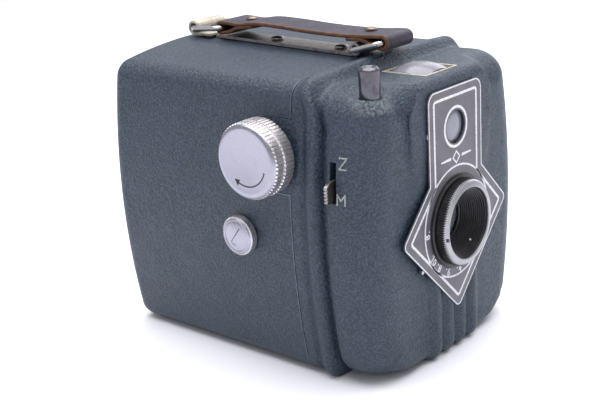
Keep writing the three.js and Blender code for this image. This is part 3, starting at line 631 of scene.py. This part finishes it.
def casing_rings():
    """Each ring's share of the front shape and its (depth, inset) on the side, top, bottom and panel."""
    sides = [(31.4, 0, 0), (28.4, 0.05, 0), (27.0, 0.7, 0), (25.8, 0, 0), (24.4, -0.95, 0),
             (23.0, -1.2, 0), (21.8, -0.85, 0), (20.9, 0.4, 0.3), (20.2, 2.2, 0.9), (19.3, 2.4, 1),
             (18.5, 1.1, 1), (17.8, 0.25, 1), (GROOVE_FRONT, 0, 1)]
    tops = [(31.4, 0, 0), (30.3, -0.1, 0), (29.2, -0.7, 0), (28.0, -1.35, 0), (26.8, -1.6, 0),
            (25.6, -1.45, 0), (24.6, -0.9, 0.1), (23.6, -0.2, 0.4), (22.6, 0.1, 0.8), (21.6, 0.1, 1),
            (20.2, 0.05, 1), (18.8, 0, 1), (GROOVE_FRONT, 0, 1)]
    start = (SEAM - GAP, 0.3)
    rings = [(0, 0, start, start, start, start)]
    for (d, inset, share), (top_d, top_inset, top_share) in zip(spline(sides, 5), spline(tops, 5)):
        top = (top_d, top_inset)
        rings.append((share, top_share, (d, inset), top, (d, inset), top))
    paths = zip(edge_path(FACE, FRONT_EDGE), edge_path(FACE, LOW_EDGE), edge_path(PANEL, PANEL_EDGE))
    return rings + [(1, 1, main, main, low, panel) for main, low, panel in paths]


def flute_height(x, z):
    """How far the flutes stand out at a place: four rounded ribs with narrow valleys between."""
    edge = FLUTE["pitch"] * FLUTE["count"]
    if abs(x) > edge + 1:
        return 0
    wave = math.sin(math.pi * x / FLUTE["pitch"]) ** 2
    crest = math.sqrt(wave + 0.004) * ease(edge + 0.7, edge - 0.7, abs(x))
    return FLUTE["rise"] * crest * ease(height(-6), height(-20), z)


def casing_outer():
    rim = section(FRONT, 0)
    near_low = [ease(15, 3.0, z) * ease(36, 23, abs(x)) for x, z in rim]
    near_top = [ease(82, 92, z) for _, z in rim]
    rings = []
    for share, top_share, *paths in casing_rings():
        shapes = (between(share), between(top_share), between(share), between(top_share))
        side, top, low, panel = [
            [Vector(point) for point in section_at(d, shape, inset)]
            for shape, (d, inset) in zip(shapes, paths)
        ]
        low_inset = paths[2][1]
        lean = math.acos(1 - min(max(low_inset, 0) / LOW_EDGE, 1))
        away = Vector((0, -math.sin(lean), -math.cos(lean)))
        ring = []
        for i, at in enumerate(side):
            at = at.lerp(top[i], near_top[i]).lerp(low[i], near_low[i])
            onto = ease(PANEL_HALF + PANEL_SOFT, PANEL_HALF - PANEL_SOFT, abs(at.x))
            at = at.lerp(panel[i], onto * ease(height(6), height(26), at.z))
            if share == 1 and at.z < LENS_Z:
                on_front = ease(16, 11, at.y + BODY_DEPTH / 2)
                at = at + away * flute_height(at.x, at.z) * on_front
            ring.append((at.x, at.y, max(at.z, 0)))
        rings.append(ring)
    return solid(skin(rings), "front_body")


def casing_inner():
    wall, behind_groove = 1.6, 4.2
    edge = FRONT_EDGE - wall
    turn = FACE + FRONT_EDGE
    steps = [(40, behind_groove), (16.4, behind_groove), (15.2, 1.9)]
    steps += [(turn - edge * s, wall + edge * (1 - c)) for c, s in arc(0, 0, 1, 0, 90, 5)]
    return solid(skin([section_at(d, FRONT, inset, False) for d, inset in steps]))


def tongue():
    """The sleeve at the casing's back, which slides into the rear shell."""
    start, end, inset = 29.5, 37.5, 1.55
    outer = solid(skin([section_at(d, REAR, inset) for d in (start, end)]))
    inner = solid(skin([section_at(d, REAR, inset + WALL) for d in (start - 1, end + 1)]))
    return bored(outer, inner)


def front_casing():
    casing = casing_outer()
    casing.data.materials.append(ENAMEL)
    bored(casing, casing_inner())
    tab = rear_solid(SEAM - 3, 0)
    tab.data.materials.append(ENAMEL)
    bored(tab, rear_solid(SEAM - 4, WALL, fine=False))
    combine(tab, [tab_prism(0)], "INTERSECT")
    pad = combine(plug("Z", BUTTON, 9, 88.5, 100, 48), [casing_outer()], "INTERSECT")
    combine(casing, [tongue(), tab, pad], "UNION")
    low, high = box("finder_frame")
    slot_low, slot_high = box("time_lever")
    slot_y = (slot_low.y + slot_high.y) / 2
    ball, floor = 13.0, 91.5
    dish = [(0, floor), *arc(0, floor + ball, ball, -87, -3, 28), (0, floor + ball)]
    bored(
        casing,
        solid(block((low.x - GAP, low.y - GAP, 80), (high.x + GAP, high.y + GAP, 105))),
        plug("Y", (0, 0, LENS_Z), 13.9, depth(-1), depth(8), 72),
        plug("Y", centre("finder_front_lens"), 5.9, depth(-1), depth(5), 56),
        solid(turned("Z", BUTTON, dish, 72)),
        plug("Z", BUTTON, 3.4, 85, 100, 48),
        solid(block((-50, slot_y - 1.2, slot_low.z - 0.6), (-34, slot_y + 1.2, slot_high.z + 5.4))),
        plug("X", KNOB, 3.3, -50, -38, 32),
    )

    def rubbed(point):
        """The enamel is worn pale in the button's dish, most on its outer side, towards the front and -X;
        that side's extra paleness is a painted highlight where the dish faces the light.
        """
        away = Vector((point.x - BUTTON.x, point.y - BUTTON.y))
        outer = 0.5 - 0.5 * away.normalized().dot(Vector((0.55, 0.83)))
        near = ease(3.2, 4.4, away.length) * ease(9.5, 5.5, away.length)
        return 0.8 * near * outer if point.z > 88 else 0

    paint_wear_and_highlight(casing, rubbed)
    place(casing, "front_unit", "front_casing")
    return casing


# ---- Face plate ----
PLATE = {"half": 15.1, "top": 44.3, "round": 3.6, "corner": 30.3, "tip": 2.2}


def plate_outline(inset):
    """The plate's edge drawn in by inset: a strip over a square set on its corner, as (x, z)."""
    half, top = PLATE["half"] - inset, height(PLATE["top"] - inset)
    r = max(PLATE["round"] - inset, 1.0)
    corner = PLATE["corner"] - inset * math.sqrt(2)
    tip = max(PLATE["tip"] - inset, 0.8)
    hub = corner - tip * math.sqrt(2)
    outline = [(half, LENS_Z + corner - half)]
    outline += arc(half - r, top - r, r, 0, 90, 10) + arc(r - half, top - r, r, 90, 180, 10)
    outline += [(-half, LENS_Z + corner - half)]
    for x, z, start in ((-hub, 0, 135), (0, -hub, 225), (hub, 0, 315)):
        outline += arc(x, LENS_Z + z, tip, start, start + 90, 8)
    return outline


def plate_lift(point, up):
    """Printed lines stand a hair proud of the plate's front."""
    return (point[0], depth(0.02 - 0.05 * up), point[1])


def numeral(text, x, z, turn):
    """A scale number as a thin solid on the plate's plane, turned about the plate's normal."""
    curve = bpy.data.curves.new("numeral", "FONT")
    curve.body = text
    curve.align_x = curve.align_y = "CENTER"
    curve.size = 3.3
    curve.extrude = 0.02
    curve.offset = 0.07
    obj = added("numeral", curve)
    bpy.context.view_layer.update()
    graph = bpy.context.evaluated_depsgraph_get()
    mesh = bpy.data.meshes.new_from_object(obj.evaluated_get(graph))
    stand = Matrix.Translation((x, depth(-0.02), z)) @ Matrix.Rotation(math.radians(turn), 4, "Y") \
        @ Matrix.Rotation(math.pi / 2, 4, "X")
    points = [tuple(stand @ v.co) for v in mesh.vertices]
    faces = [tuple(p.vertices) for p in mesh.polygons]
    bpy.data.objects.remove(obj)
    return points, faces


def circle(x, z, radius, steps):
    return arc(x, z, radius, 0, 360 * (steps - 1) / steps, steps - 1)


def dot(angle, reach, size, steps, back, front):
    """A round dot between two depths, at an angle and a distance from the lens's axis."""
    return prism("Y", circle(*polar(0, LENS_Z, reach, angle), size, steps), depth(back), depth(front))


def face_plate():
    plate = build("plate", [prism("Y", plate_outline(0), depth(0), depth(PANEL - GAP))], [PRINTED])
    finder = centre("finder_front_lens")
    bored(plate, plug("Y", (0, 0, LENS_Z), 15.4, depth(-2), depth(3), 96),
          plug("Y", finder, 5.4, depth(-2), depth(3), 64))
    place(bevelled(plate, 0.1, 1), "front_unit", "face_plate")

    lines = [
        raised_line(plate_outline(0.28), 0.42, plate_lift, True),
        raised_line(plate_outline(3.05), 0.85, plate_lift, True),
        raised_line(circle(0, LENS_Z, 18.45, 120), 0.62, plate_lift, True),
        raised_line(circle(0, finder.z, 6.3, 72), 0.85, plate_lift, True),
    ]
    # A plain lozenge between two rules fills the plate's blank middle.
    z = height(21.3)
    for side in (-1, 1):
        lines.append(raised_line([(side * 3.1, z), (side * 8.6, z)], 0.5, plate_lift))
    lozenge = [(0, z - 1.9), (1.9, z), (0, z + 1.9), (-1.9, z)]
    lines.append(raised_line(lozenge, 0.5, plate_lift, True))
    place(build("plate_lines", lines, [WHITE]), "front_unit")

    # The distance scale reads outwards from the lens, with a dot beside each number.
    # Infinity is an 8 laid on its side.
    numbers = [("10", 213), ("8", 230), ("6", 250.5), ("4", 273.5), ("3", 292), ("2", 310)]
    scale = []
    for text, angle, turn in [("8", 181.5, -90)] + [(text, angle, 270 - angle) for text, angle in numbers]:
        scale.append(numeral(text, *polar(0, LENS_Z, 16.95, angle), turn))
        scale.append(dot(angle - 5.5, 16.1, 0.28, 10, 0.01, -0.03))
    place(build("distance_scale", scale, [WHITE]), "front_unit")

    # Two of the plate's bent tabs show at its edges.
    tabs = [block((-15.5, depth(0.2), 76.5), (-14.6, depth(1.4), 78.1)),
            block((-20.4, depth(0.2), 34.1), (-19.1, depth(1.4), 35.4))]
    place(bevelled(build("plate_tabs", tabs, [ALUMINIUM]), 0.15), "front_unit")


# ---- Lens ----
def lens_parts():
    middle = (0, 0, LENS_Z)

    def lens_piece(name, profile, segments, material, body, node):
        shape = turned("Y", middle, [(r, depth(d)) for r, d in profile], segments)
        place(build(name, [shape], [material]), body, node)

    # The collar's thin black ring from 15.1 to 15.7 mm, just in front of the plate, is painted shade: it
    # stands for the barrel's shadow on the plate.
    collar_and_shade_ring = [(12.6, -0.9), (14.7, -0.9), (15.1, -0.55), (15.1, -0.12), (15.7, -0.12), (15.7, -0.05),
              (15.1, -0.05), (15.1, 0.5), (13.6, 0.5), (13.6, 10), (12.6, 10)]
    tube = [(10.9, -0.6), (12.3, -0.6), (12.3, 9), (9, 9), (9, 7.4), (10.9, 7.4)]
    dome = [(0, 4.7), (2.6, 4.76), (5.2, 4.98), (7.8, 5.4), (10.5, 5.85), (10.5, 7), (0, 7)]
    lens_piece("lens_collar", collar_and_shade_ring, 120, BLACK, "front_unit", "lens_mount")
    lens_piece("lens_tube", tube, 96, BLACK, "lens_slide", "lens_cell")
    lens_piece("lens", dome, 96, LENS_GLASS, "lens_slide", "front_lens")

    # The focusing ring: a bright ticked bevel, a knurled black rim and a ridged black funnel.
    rim = [(11.6, -4.3), (11.7, -4.6), (11.95, -4.72), (13.45, -4.3), (13.95, -3.9)]
    band = [(14.1, -3.65), (14.2, -3.4), (14.2, -1.45), (13.9, -1.2)]
    steps = 13
    funnel = [(10.6, -1.2), (8.6, 4.2), (7.2, 4.2)]
    ridges = []
    for i in range(steps):
        t0, t1 = i / steps, (i + 0.95) / steps
        deep = mix(4.0, -4.1, t0)
        ridges += [(mix(7.5, 11.45, t0), deep), (mix(7.5, 11.45, t1), deep - 0.12)]
    profile = [(r, depth(d)) for r, d in rim + band + funnel + ridges]
    teeth, per_tooth = 116, 4
    segments = teeth * per_tooth
    knurled = range(len(rim) - 1, len(rim) + 3)

    def wobble(j, k):
        return -0.38 if j in knurled and k % per_tooth < 2 else 0

    def zone_of(j, k):
        """Black on the knurled rim, bright on the bevel and the teeth's tips, then the funnel's black."""
        if j < len(rim):
            return 0 if j == len(rim) - 1 and k % per_tooth < 2 else 1
        return 0 if j < len(rim) + len(band) else 2

    shape = turned("Y", middle, profile, segments, wobble)
    ring = build("focus_ring_black", [shape], [BLACK, CHROME, FUNNEL_BLACK],
                 turned_zones(profile, segments, zone_of))
    place(ring, "focus", "focus_ring", crease=25)

    # A black index dot on the bright bevel, and one small white mark inside the funnel.
    place(build("focus_dot", [dot(189, 12.85, 0.6, 20, -4.3, -4.78)], [BLACK]), "focus")
    place(build("index_mark", [dot(-55, 9.9, 0.3, 12, -0.9, -1.35)], [WHITE]), "focus")


# ---- Knobs, button and lever on the outside ----
def knurled(name, middle, profile, toothed, rough, teeth, deep):
    """A turned knob, with straight teeth cut into the profile's toothed points and a duller finish on
    its rough ones."""
    per_tooth = 6
    segments = teeth * per_tooth
    shape = turned("X", middle, profile, segments,
                   lambda j, k: -deep if j in toothed and k % per_tooth < 2 else 0)
    zones = turned_zones(profile, segments, lambda j, k: 1 if j in rough else 0)
    return build(name, [shape], [ALUMINIUM, KNURL], zones)


def winding_knob():
    low, high = box("winding_knob")
    radius, face, thick = (high.z - low.z) / 2, low.x, high.x - low.x
    crown = [(0, 0.75), (4, 0.62), (8.4, 0.22), (9.6, 0.1), (10.3, 0), (10.9, 0.1), (11.5, 0.55),
             (radius - 0.5, 0.95)]
    bands = [(radius - 0.1, 1.4), (radius - 0.05, 4.0), (radius - 0.55, 4.3), (radius - 0.55, 4.75),
             (radius, 5.0), (radius, thick - 0.7), (radius - 0.6, thick), (0, thick)]
    first = len(crown)
    toothed = {first, first + 1, first + 4, first + 5}
    profile = [(r, face + x) for r, x in crown + bands]
    knob = knurled("knob", KNOB, profile, toothed, range(first - 1, len(profile)), 60, 0.5)
    bored(knob, plug("X", KNOB, 3.2, -50.2, high.x + 1, 32))
    place(knob, "winder", "winding_knob", crease=30)

    # The winding arrow, cut as a thin black line in the dished face.
    def lift(point, up):
        r = math.hypot(*point)
        x = face + 0.75 - 0.53 * (r / 8.4) ** 2 - 0.05 * up
        return (x, KNOB.y - point[0], KNOB.z + point[1])

    line = arc(0, 0, 7.7, -18, -118, 40)
    head = [polar(0, 0, r, angle) for r, angle in ((7.7, -131), (8.75, -116), (6.65, -116))]
    arrow = [raised_line(line, 0.45, lift), skin([[lift(p, up) for p in head] for up in (0, 1)])]
    place(build("winding_arrow", arrow, [BLACK]), "winder")


def latch_knob():
    low, high = box("latch_knob")
    radius, face = (high.z - low.z) / 2, low.x
    head = [(0, 0.15), (4.6, 0.15), (4.9, 0.3), (5.1, 0.1), (5.6, 0.2), (6.0, 0.6),
            (radius - 0.1, 0.85), (radius, 2.8), (radius - 0.3, 3.1), (2, 3.1)]
    profile = [(r, face + x) for r, x in head] + [(2, -38.6), (0, -38.6)]
    knob = knurled("latch", LATCH, profile, {6, 7}, {5, 6, 7}, 56, 0.34)
    place(knob, "latch", "latch_knob", crease=28)

    def lift(point, up):
        return (face + 0.17 - 0.05 * up, LATCH.y - point[0], LATCH.z + point[1])

    hook = [(1.6, 2.9), (-2.3, -2.0), (-2.0, -2.7), (-0.4, -3.2)]
    place(build("latch_mark", [raised_line(hook, 0.2, lift)], [DARK_STEEL]), "latch")


def release_button():
    low, high = box("release_button")
    top, base, shoulder = high.z, low.z, 90.0
    thread = []
    for i in range(6):
        z = top - 2.9 + i * 0.45
        thread += [(1.2, z), (1.45, z + 0.22)]
    cup_top = shoulder + 4.4
    profile = [(0, base), (1.4, base), (1.4, cup_top), (2.97, cup_top), (2.97, shoulder), (3.2, shoulder),
               (3.2, top - 1.1), (3.05, top - 0.75),
               (2.5, top - 0.12), (2.2, top), (1.75, top - 0.05), (1.45, top - 0.3)]
    profile += thread[::-1] + [(0, top - 3)]
    place(build("button", [turned("Z", BUTTON, profile, 64)], [BUTTON_STEEL]), "release", "release_button")


def time_lever():
    low, high = box("time_lever")
    tip, root = low.x, low.x + 0.55
    teeth = 5
    pitch = (high.z - low.z - 1.4) / teeth
    edge = []
    for i in range(teeth):
        z = high.z - 1.4 - i * pitch
        edge += [(root - 0.15, z), (tip, z - 0.25 * pitch), (tip, z - 0.6 * pitch),
                 (root - 0.15, z - 0.85 * pitch)]
    outline = [(-36, low.z), (-36, high.z), (root + 1.6, high.z), (tip + 0.1, high.z - 1.3)]
    outline += edge + [(root, low.z)]
    # The toothed edge is bright, the two flat sides dark.
    zones = [1] * len(outline) + [0, 0]
    tab = build("time_tab", [prism("Y", outline, low.y, high.y)], [DARK_STEEL, STEEL], zones)
    place(bevelled(tab, 0.09, 1), "time_switch", "time_lever")


def side_letters(casing):
    """The two setting letters, Z and M, painted on the casing's curved side next to the slot."""
    tree = BVHTree.FromObject(casing, bpy.context.evaluated_depsgraph_get())

    def lift(point, up):
        start = Vector((-0.07, point[0] * MM, point[1] * MM))
        hit = tree.ray_cast(start, Vector((1, 0, 0)))[0]
        return (hit.x / MM - 0.05 * up + 0.03, point[0], point[1])

    def stroke(points):
        fine = sum([part_way(a, b, 6) for a, b in zip(points, points[1:])], [])
        return raised_line(fine + [points[-1]], 0.42, lift)

    letters = []
    for d, h, wide, tall, path in (
        (11.6, 28.5, 1.25, 1.7, [(1, 1), (-1, 1), (1, -1), (-1, -1)]),
        (12.2, 17.5, 1.35, 1.7, [(1, -1), (1, 1), (0, -0.1), (-1, 1), (-1, -1)]),
    ):
        # On this side of the body the letters read towards -Y.
        letters.append(stroke([(depth(d) + wide * a, height(h) + tall * b) for a, b in path]))
    place(build("setting_letters", letters, [LETTER]), "front_unit")


# ---- Finder ----
def finder_parts():
    low, high = box("finder_frame")
    high.z -= 0.7
    inset = 0.8
    rim = build("finder_rim", [block(low, high)], [CREAM])
    eye = block((low.x + inset, low.y + inset, low.z - 1), (high.x - inset, high.y - inset, high.z + 1))
    place(bevelled(bored(rim, solid(eye)), 0.18), "front_unit", "finder_frame")

    low, high = box("finder_top_lens")
    middle = (low + high) / 2
    radius, steps = 16.5, 24
    rows = []
    for i in range(steps + 1):
        y = mix(low.y, high.y, i / steps)
        row = []
        for k in range(steps + 1):
            x = mix(low.x, high.x, k / steps)
            drop = radius - math.sqrt(radius ** 2 - (x - middle.x) ** 2 - (y - middle.y) ** 2)
            row.append((x, y, high.z - drop))
        rows.append([(low.x, y, low.z)] + row + [(high.x, y, low.z)])
    place(build("finder_dome", [skin(rows)], [FINDER_GLASS]), "front_unit", "finder_top_lens")

    low, high = box("finder_front_lens")
    r = (high.z - low.z) / 2
    inner = r - 0.35
    bulge = [(inner * s, low.y + 0.2 - 0.75 * c) for c, s in arc(0, 0, 1, 0, 90, 10)]
    profile = bulge + [(r, low.y + 0.2), (r, high.y), (0, high.y)]
    eye = turned("Y", centre("finder_front_lens"), profile, 72)
    place(build("finder_eye", [eye], [FRONT_GLASS]), "front_unit", "finder_front_lens")


# ---- Handle ----
FRONT_PIVOT = (depth(34.6), height(53.8))
REAR_PIVOT = (depth(106), height(57.1))
FRONT_FOLD = (depth(22.3), height(57))
REAR_FOLD = (depth(92.3), height(57.8))
LOOP_HALF = 8.4
WIRE = 0.95


def wire_loop(name, start, end, body):
    """A closed wire loop between two cross bars, given by the bars' middles as (y, z)."""
    run = Vector((0, end[0] - start[0], end[1] - start[1]))
    length = run.length
    run.normalize()
    flat = Vector((0, -run.z, run.y))
    r, sides = 2.4, 20
    path = sum(rounded(LOOP_HALF, 0, length, r, 10), [])
    points = [Vector((x, *start)) + a * run for x, a in path]
    rings = []
    for i, point in enumerate(points):
        along = (points[(i + 1) % len(points)] - points[i - 1]).normalized()
        across = along.cross(flat).normalized()
        ring = []
        for k in range(sides):
            u, v = polar(0, 0, WIRE, 360 * k / sides)
            ring.append(tuple(point + u * across + v * flat))
        rings.append(ring)
    place(build(f"{name}_wire", [skin(rings, closed=True)], [WIRE_STEEL]), body, name)


def strap():
    """The leather strap: one ply over the top, folded round both loops and back under itself."""
    thick, fold, half = 1.25, 1.93, 7.2
    under = thick + 0.12
    hump = [(84, 59.1), (76.5, 59.9), (66, 59.6), (52, 58.7), (38, 58.3)]
    lift = 0.325
    over = [(REAR_FOLD[0], REAR_FOLD[1] + fold)]
    over += [(depth(d), height(h) + lift) for d, h in hump]
    over += [(FRONT_FOLD[0], FRONT_FOLD[1] + fold)]
    top = spline(over, 10)
    rear = arc(*REAR_FOLD, fold, -80, 90, 14)
    front = arc(*FRONT_FOLD, fold, 90, 260, 14)

    def below(points, end):
        """The ply that comes back under the strap, easing from the fold to lie against the top ply."""
        line = []
        for y, z in points:
            s = abs(y - end[0])
            if 3 < s < 15.5:
                line.append((y, mix(end[1] - fold, z - under, ease(1, 9, s))))
        return line

    path = below(top[:40], REAR_FOLD)[::-1] + rear[:-1] + top + front[1:] + below(top[-40:], FRONT_FOLD)[::-1]

    # The outline of a cut: the grain side, a rounded edge, the flesh side and the other edge.
    steps, t, corner, edge = 14, thick / 2, 0.32, 0.08
    across = [mix(-half + corner, half - corner, k / steps) for k in range(steps + 1)]
    outline = [(x, t) for x in across]
    outline += [(half - edge, t - corner / 2), (half, 0), (half - edge, corner / 2 - t)]
    outline += [(x, -t) for x in reversed(across)]
    outline += [(edge - half, corner / 2 - t), (-half, 0), (edge - half, t - corner / 2)]
    cupping = 0.22
    rings = []
    for i, (y, z) in enumerate(path):
        y0, z0 = path[max(i - 1, 0)]
        y1, z1 = path[min(i + 1, len(path) - 1)]
        along = Vector((y1 - y0, z1 - z0)).normalized()
        out = Vector((along.y, -along.x))
        # The strap is cupped across between its folds, and its cut edges wander a little.
        flat = ease(2, 9, y - FRONT_FOLD[0]) * ease(2, 9, REAR_FOLD[0] - y)
        wander = 1 + 0.00072 * math.sin(0.31 * y + 1) + 0.00048 * math.sin(0.83 * y)
        ring = []
        for x, up in outline:
            lean = out * (up - cupping * flat * (x / half) ** 2)
            ring.append((x * wander, y + lean.x, z + lean.y))
        rings.append(ring)
    points, faces = skin(rings)
    # The grain side is the outline's first run of points; the cut edges and flesh side are bare.
    zones = [0 if i % len(outline) < steps else 1 for i in range(len(faces) - 2)] + [1, 1]
    obj = build("strap_leather", [(points, faces)], [LEATHER, RAW_LEATHER], zones)
    paint_wear_and_highlight(obj, lambda point: 0.8 * ease(6.2, 7.1, abs(point.x)))
    place(obj, "strap", "handle_strap", crease=60)


def rivet_head(name, node, radius, material, body, oval=1.0):
    low, high = box(node)
    middle = centre(node)
    under = high.z - 0.85
    profile = [(0, low.z), (1.0, low.z), (1.0, under), (radius, under)]
    profile += [(radius * c, under + 0.15 + 0.7 * s) for c, s in arc(0, 0, 1, 0, 90, 8)]
    points, faces = turned("Z", middle, profile, 40)
    points = [(middle.x + (x - middle.x) * oval, y, z) for x, y, z in points]
    place(build(name, [(points, faces)], [material]), body, node)


def handle():
    wire_loop("rear_loop", REAR_PIVOT, REAR_FOLD, "loop_rear")
    wire_loop("front_loop", FRONT_PIVOT, FRONT_FOLD, "loop_front")
    strap()
    for end in ("front", "rear"):
        rivet_head(f"{end}_rivet", f"strap_rivet_{end}", 2.3, BRASS, "strap", 0.8)
    for end, letter in (("front", "a"), ("rear", "b")):
        rivet_head(f"strip_rivet_{letter}", f"strip_rivet_{end}", 2.2, STEEL, "shell")

    # The strip along the top, rolled into an eye at its front end.
    lower = []
    for i in range(9):
        d = mix(35.8, 97, i / 8)
        shape = rear_shape(d)
        lower.append((depth(d), shape["top"] + shape["crown"] + GAP))
    upper = [(y, z + 1) for y, z in reversed(lower)]
    strip = build("strip", [prism("X", lower + upper, -5, 5)], [STEEL])
    combine(strip, [plug("X", (0, *FRONT_PIVOT), 2.2, -5, 5, 40)], "UNION")
    bored(strip, plug("X", (0, *FRONT_PIVOT), 1.3, -7, 7, 32),
          *[plug("Z", (0, depth(d), 0), 1.4, 90, 105, 24) for d in (44, 72)])
    place(bevelled(strip, 0.18), "shell", "handle_strip")

    # The rear eye: sheet rolled round the rear loop's bar.
    outer, inner = 2.6, 1.7
    y, z = REAR_PIVOT
    foot = z - outer
    outline = arc(y, z, outer, -90, 170, 30) + arc(y, z, inner, 170, -90, 30)
    outline += [(depth(97.6), foot + outer - inner), (depth(97.6), foot)]
    rear = build("rolled_eye", [prism("X", outline, -7.2, 7.2)], [CREAM])
    place(bevelled(rear, 0.14), "shell", "rear_eye")


# ---- Back and inside ----
def back_parts():
    low, high = box("window_cover")
    outline = arc(0, COVER_PIVOT.z, 3.6, 20, 160, 12) + arc(0, WINDOW.z, 7.4, 160, 380, 30)
    cover = build("cover", [prism("Y", outline, low.y, high.y)], [BLACK])
    bored(cover, plug("Y", COVER_PIVOT, 1.7, low.y - 1, high.y + 1, 24))
    place(bevelled(cover, 0.2), "cover", "window_cover")
    low, high = box("window_rivet")
    profile = [(0, low.y), (1.4, low.y), (1.4, high.y - 1.1), (2.9, high.y - 1.1), (2.7, high.y - 0.6),
               (2.0, high.y - 0.15), (0, high.y)]
    place(build("cover_rivet", [turned("Y", COVER_PIVOT, profile, 40)], [STEEL]), "shell", "window_rivet")


KEPT = {
    MATT_BLACK: ["aperture_plate", "shutter_board", "finder_box", "light_cone", "left_side_plate",
                 "right_side_plate", "film_gate", "pressure_plate"],
    BLACK: ["take_up_spool"],
    STEEL: ["shutter_blade", "shutter_pivot", "button_spring", "button_bracket", "release_lever",
            "lever_pivot", "upper_roller", "lower_roller", "take_up_pin", "supply_pin_right",
            "supply_pin_left", "winding_shaft", "latch_cam", "pressure_spring"],
    RED: ["red_window"],
    MIRROR: ["finder_mirror"],
}


def kept_nodes():
    """CAD nodes whose shape is right as it is get their finish and nothing else."""
    for material, names in KEPT.items():
        for name in names:
            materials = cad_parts[name].data.materials
            materials.clear()
            materials.append(material)


# ---- Stage ----
def stage():
    paper = mottled("floor_paper", (60, 2, 0.3, 0.7), ((0.90, 0.90, 0.95), (0.91, 0.91, 0.96)),
                    (40, 2, 0.3, 0.7), (0.85, 0.95))
    build("floor", [block((-4000, -4000, -20), (4000, 4000, -0.02))], [paper])

    world = bpy.data.worlds.new("studio")
    bpy.context.scene.world = world
    world.use_nodes = True
    background = world.node_tree.nodes["Background"]
    background.inputs["Color"].default_value = (0.97, 0.975, 1, 1)
    background.inputs["Strength"].default_value = 0.6

    def softbox(name, at, size, power, colour=(1, 1, 1)):
        light = bpy.data.lights.new(name, "AREA")
        light.shape = "RECTANGLE"
        light.size, light.size_y = size
        light.energy = power
        light.color = colour
        obj = added(name, light)
        obj.location = at
        aim = Vector((0, 0, 0.05)) - Vector(at)
        obj.rotation_euler = aim.to_track_quat("-Z", "Y").to_euler()

    softbox("key", (0.05, 0.0, 0.95), (1.3, 1.3), 19.0)
    softbox("fill", (0.8, 0.1, 0.4), (0.6, 0.5), 1.6, (0.95, 0.96, 1))

    # The view is from the front and the -X side, a little above the body, and slightly rolled.
    azimuth, elevation, roll = math.radians(-48.734), math.radians(18.248), -0.065
    distance = 348.961
    target = Vector((-30.271, -17.5, 55.166))
    lens = bpy.data.cameras.new("camera")
    lens.sensor_width = 36
    lens.lens = 65.08
    lens.clip_start, lens.clip_end = 0.01, 50
    camera = added("camera", lens)
    camera.matrix_world = (
        Matrix.Translation(target * MM) @ Matrix.Rotation(azimuth, 4, "Z")
        @ Matrix.Rotation(math.pi / 2 - elevation, 4, "X") @ Matrix.Rotation(roll, 4, "Z")
        @ Matrix.Translation((0, 0, distance * MM))
    )
    bpy.context.scene.camera = camera
    bpy.context.scene.view_settings.view_transform = "Standard"


rear_shell()
side_letters(front_casing())
face_plate()
lens_parts()
winding_knob()
latch_knob()
release_button()
time_lever()
finder_parts()
handle()
back_parts()
kept_nodes()
stage()
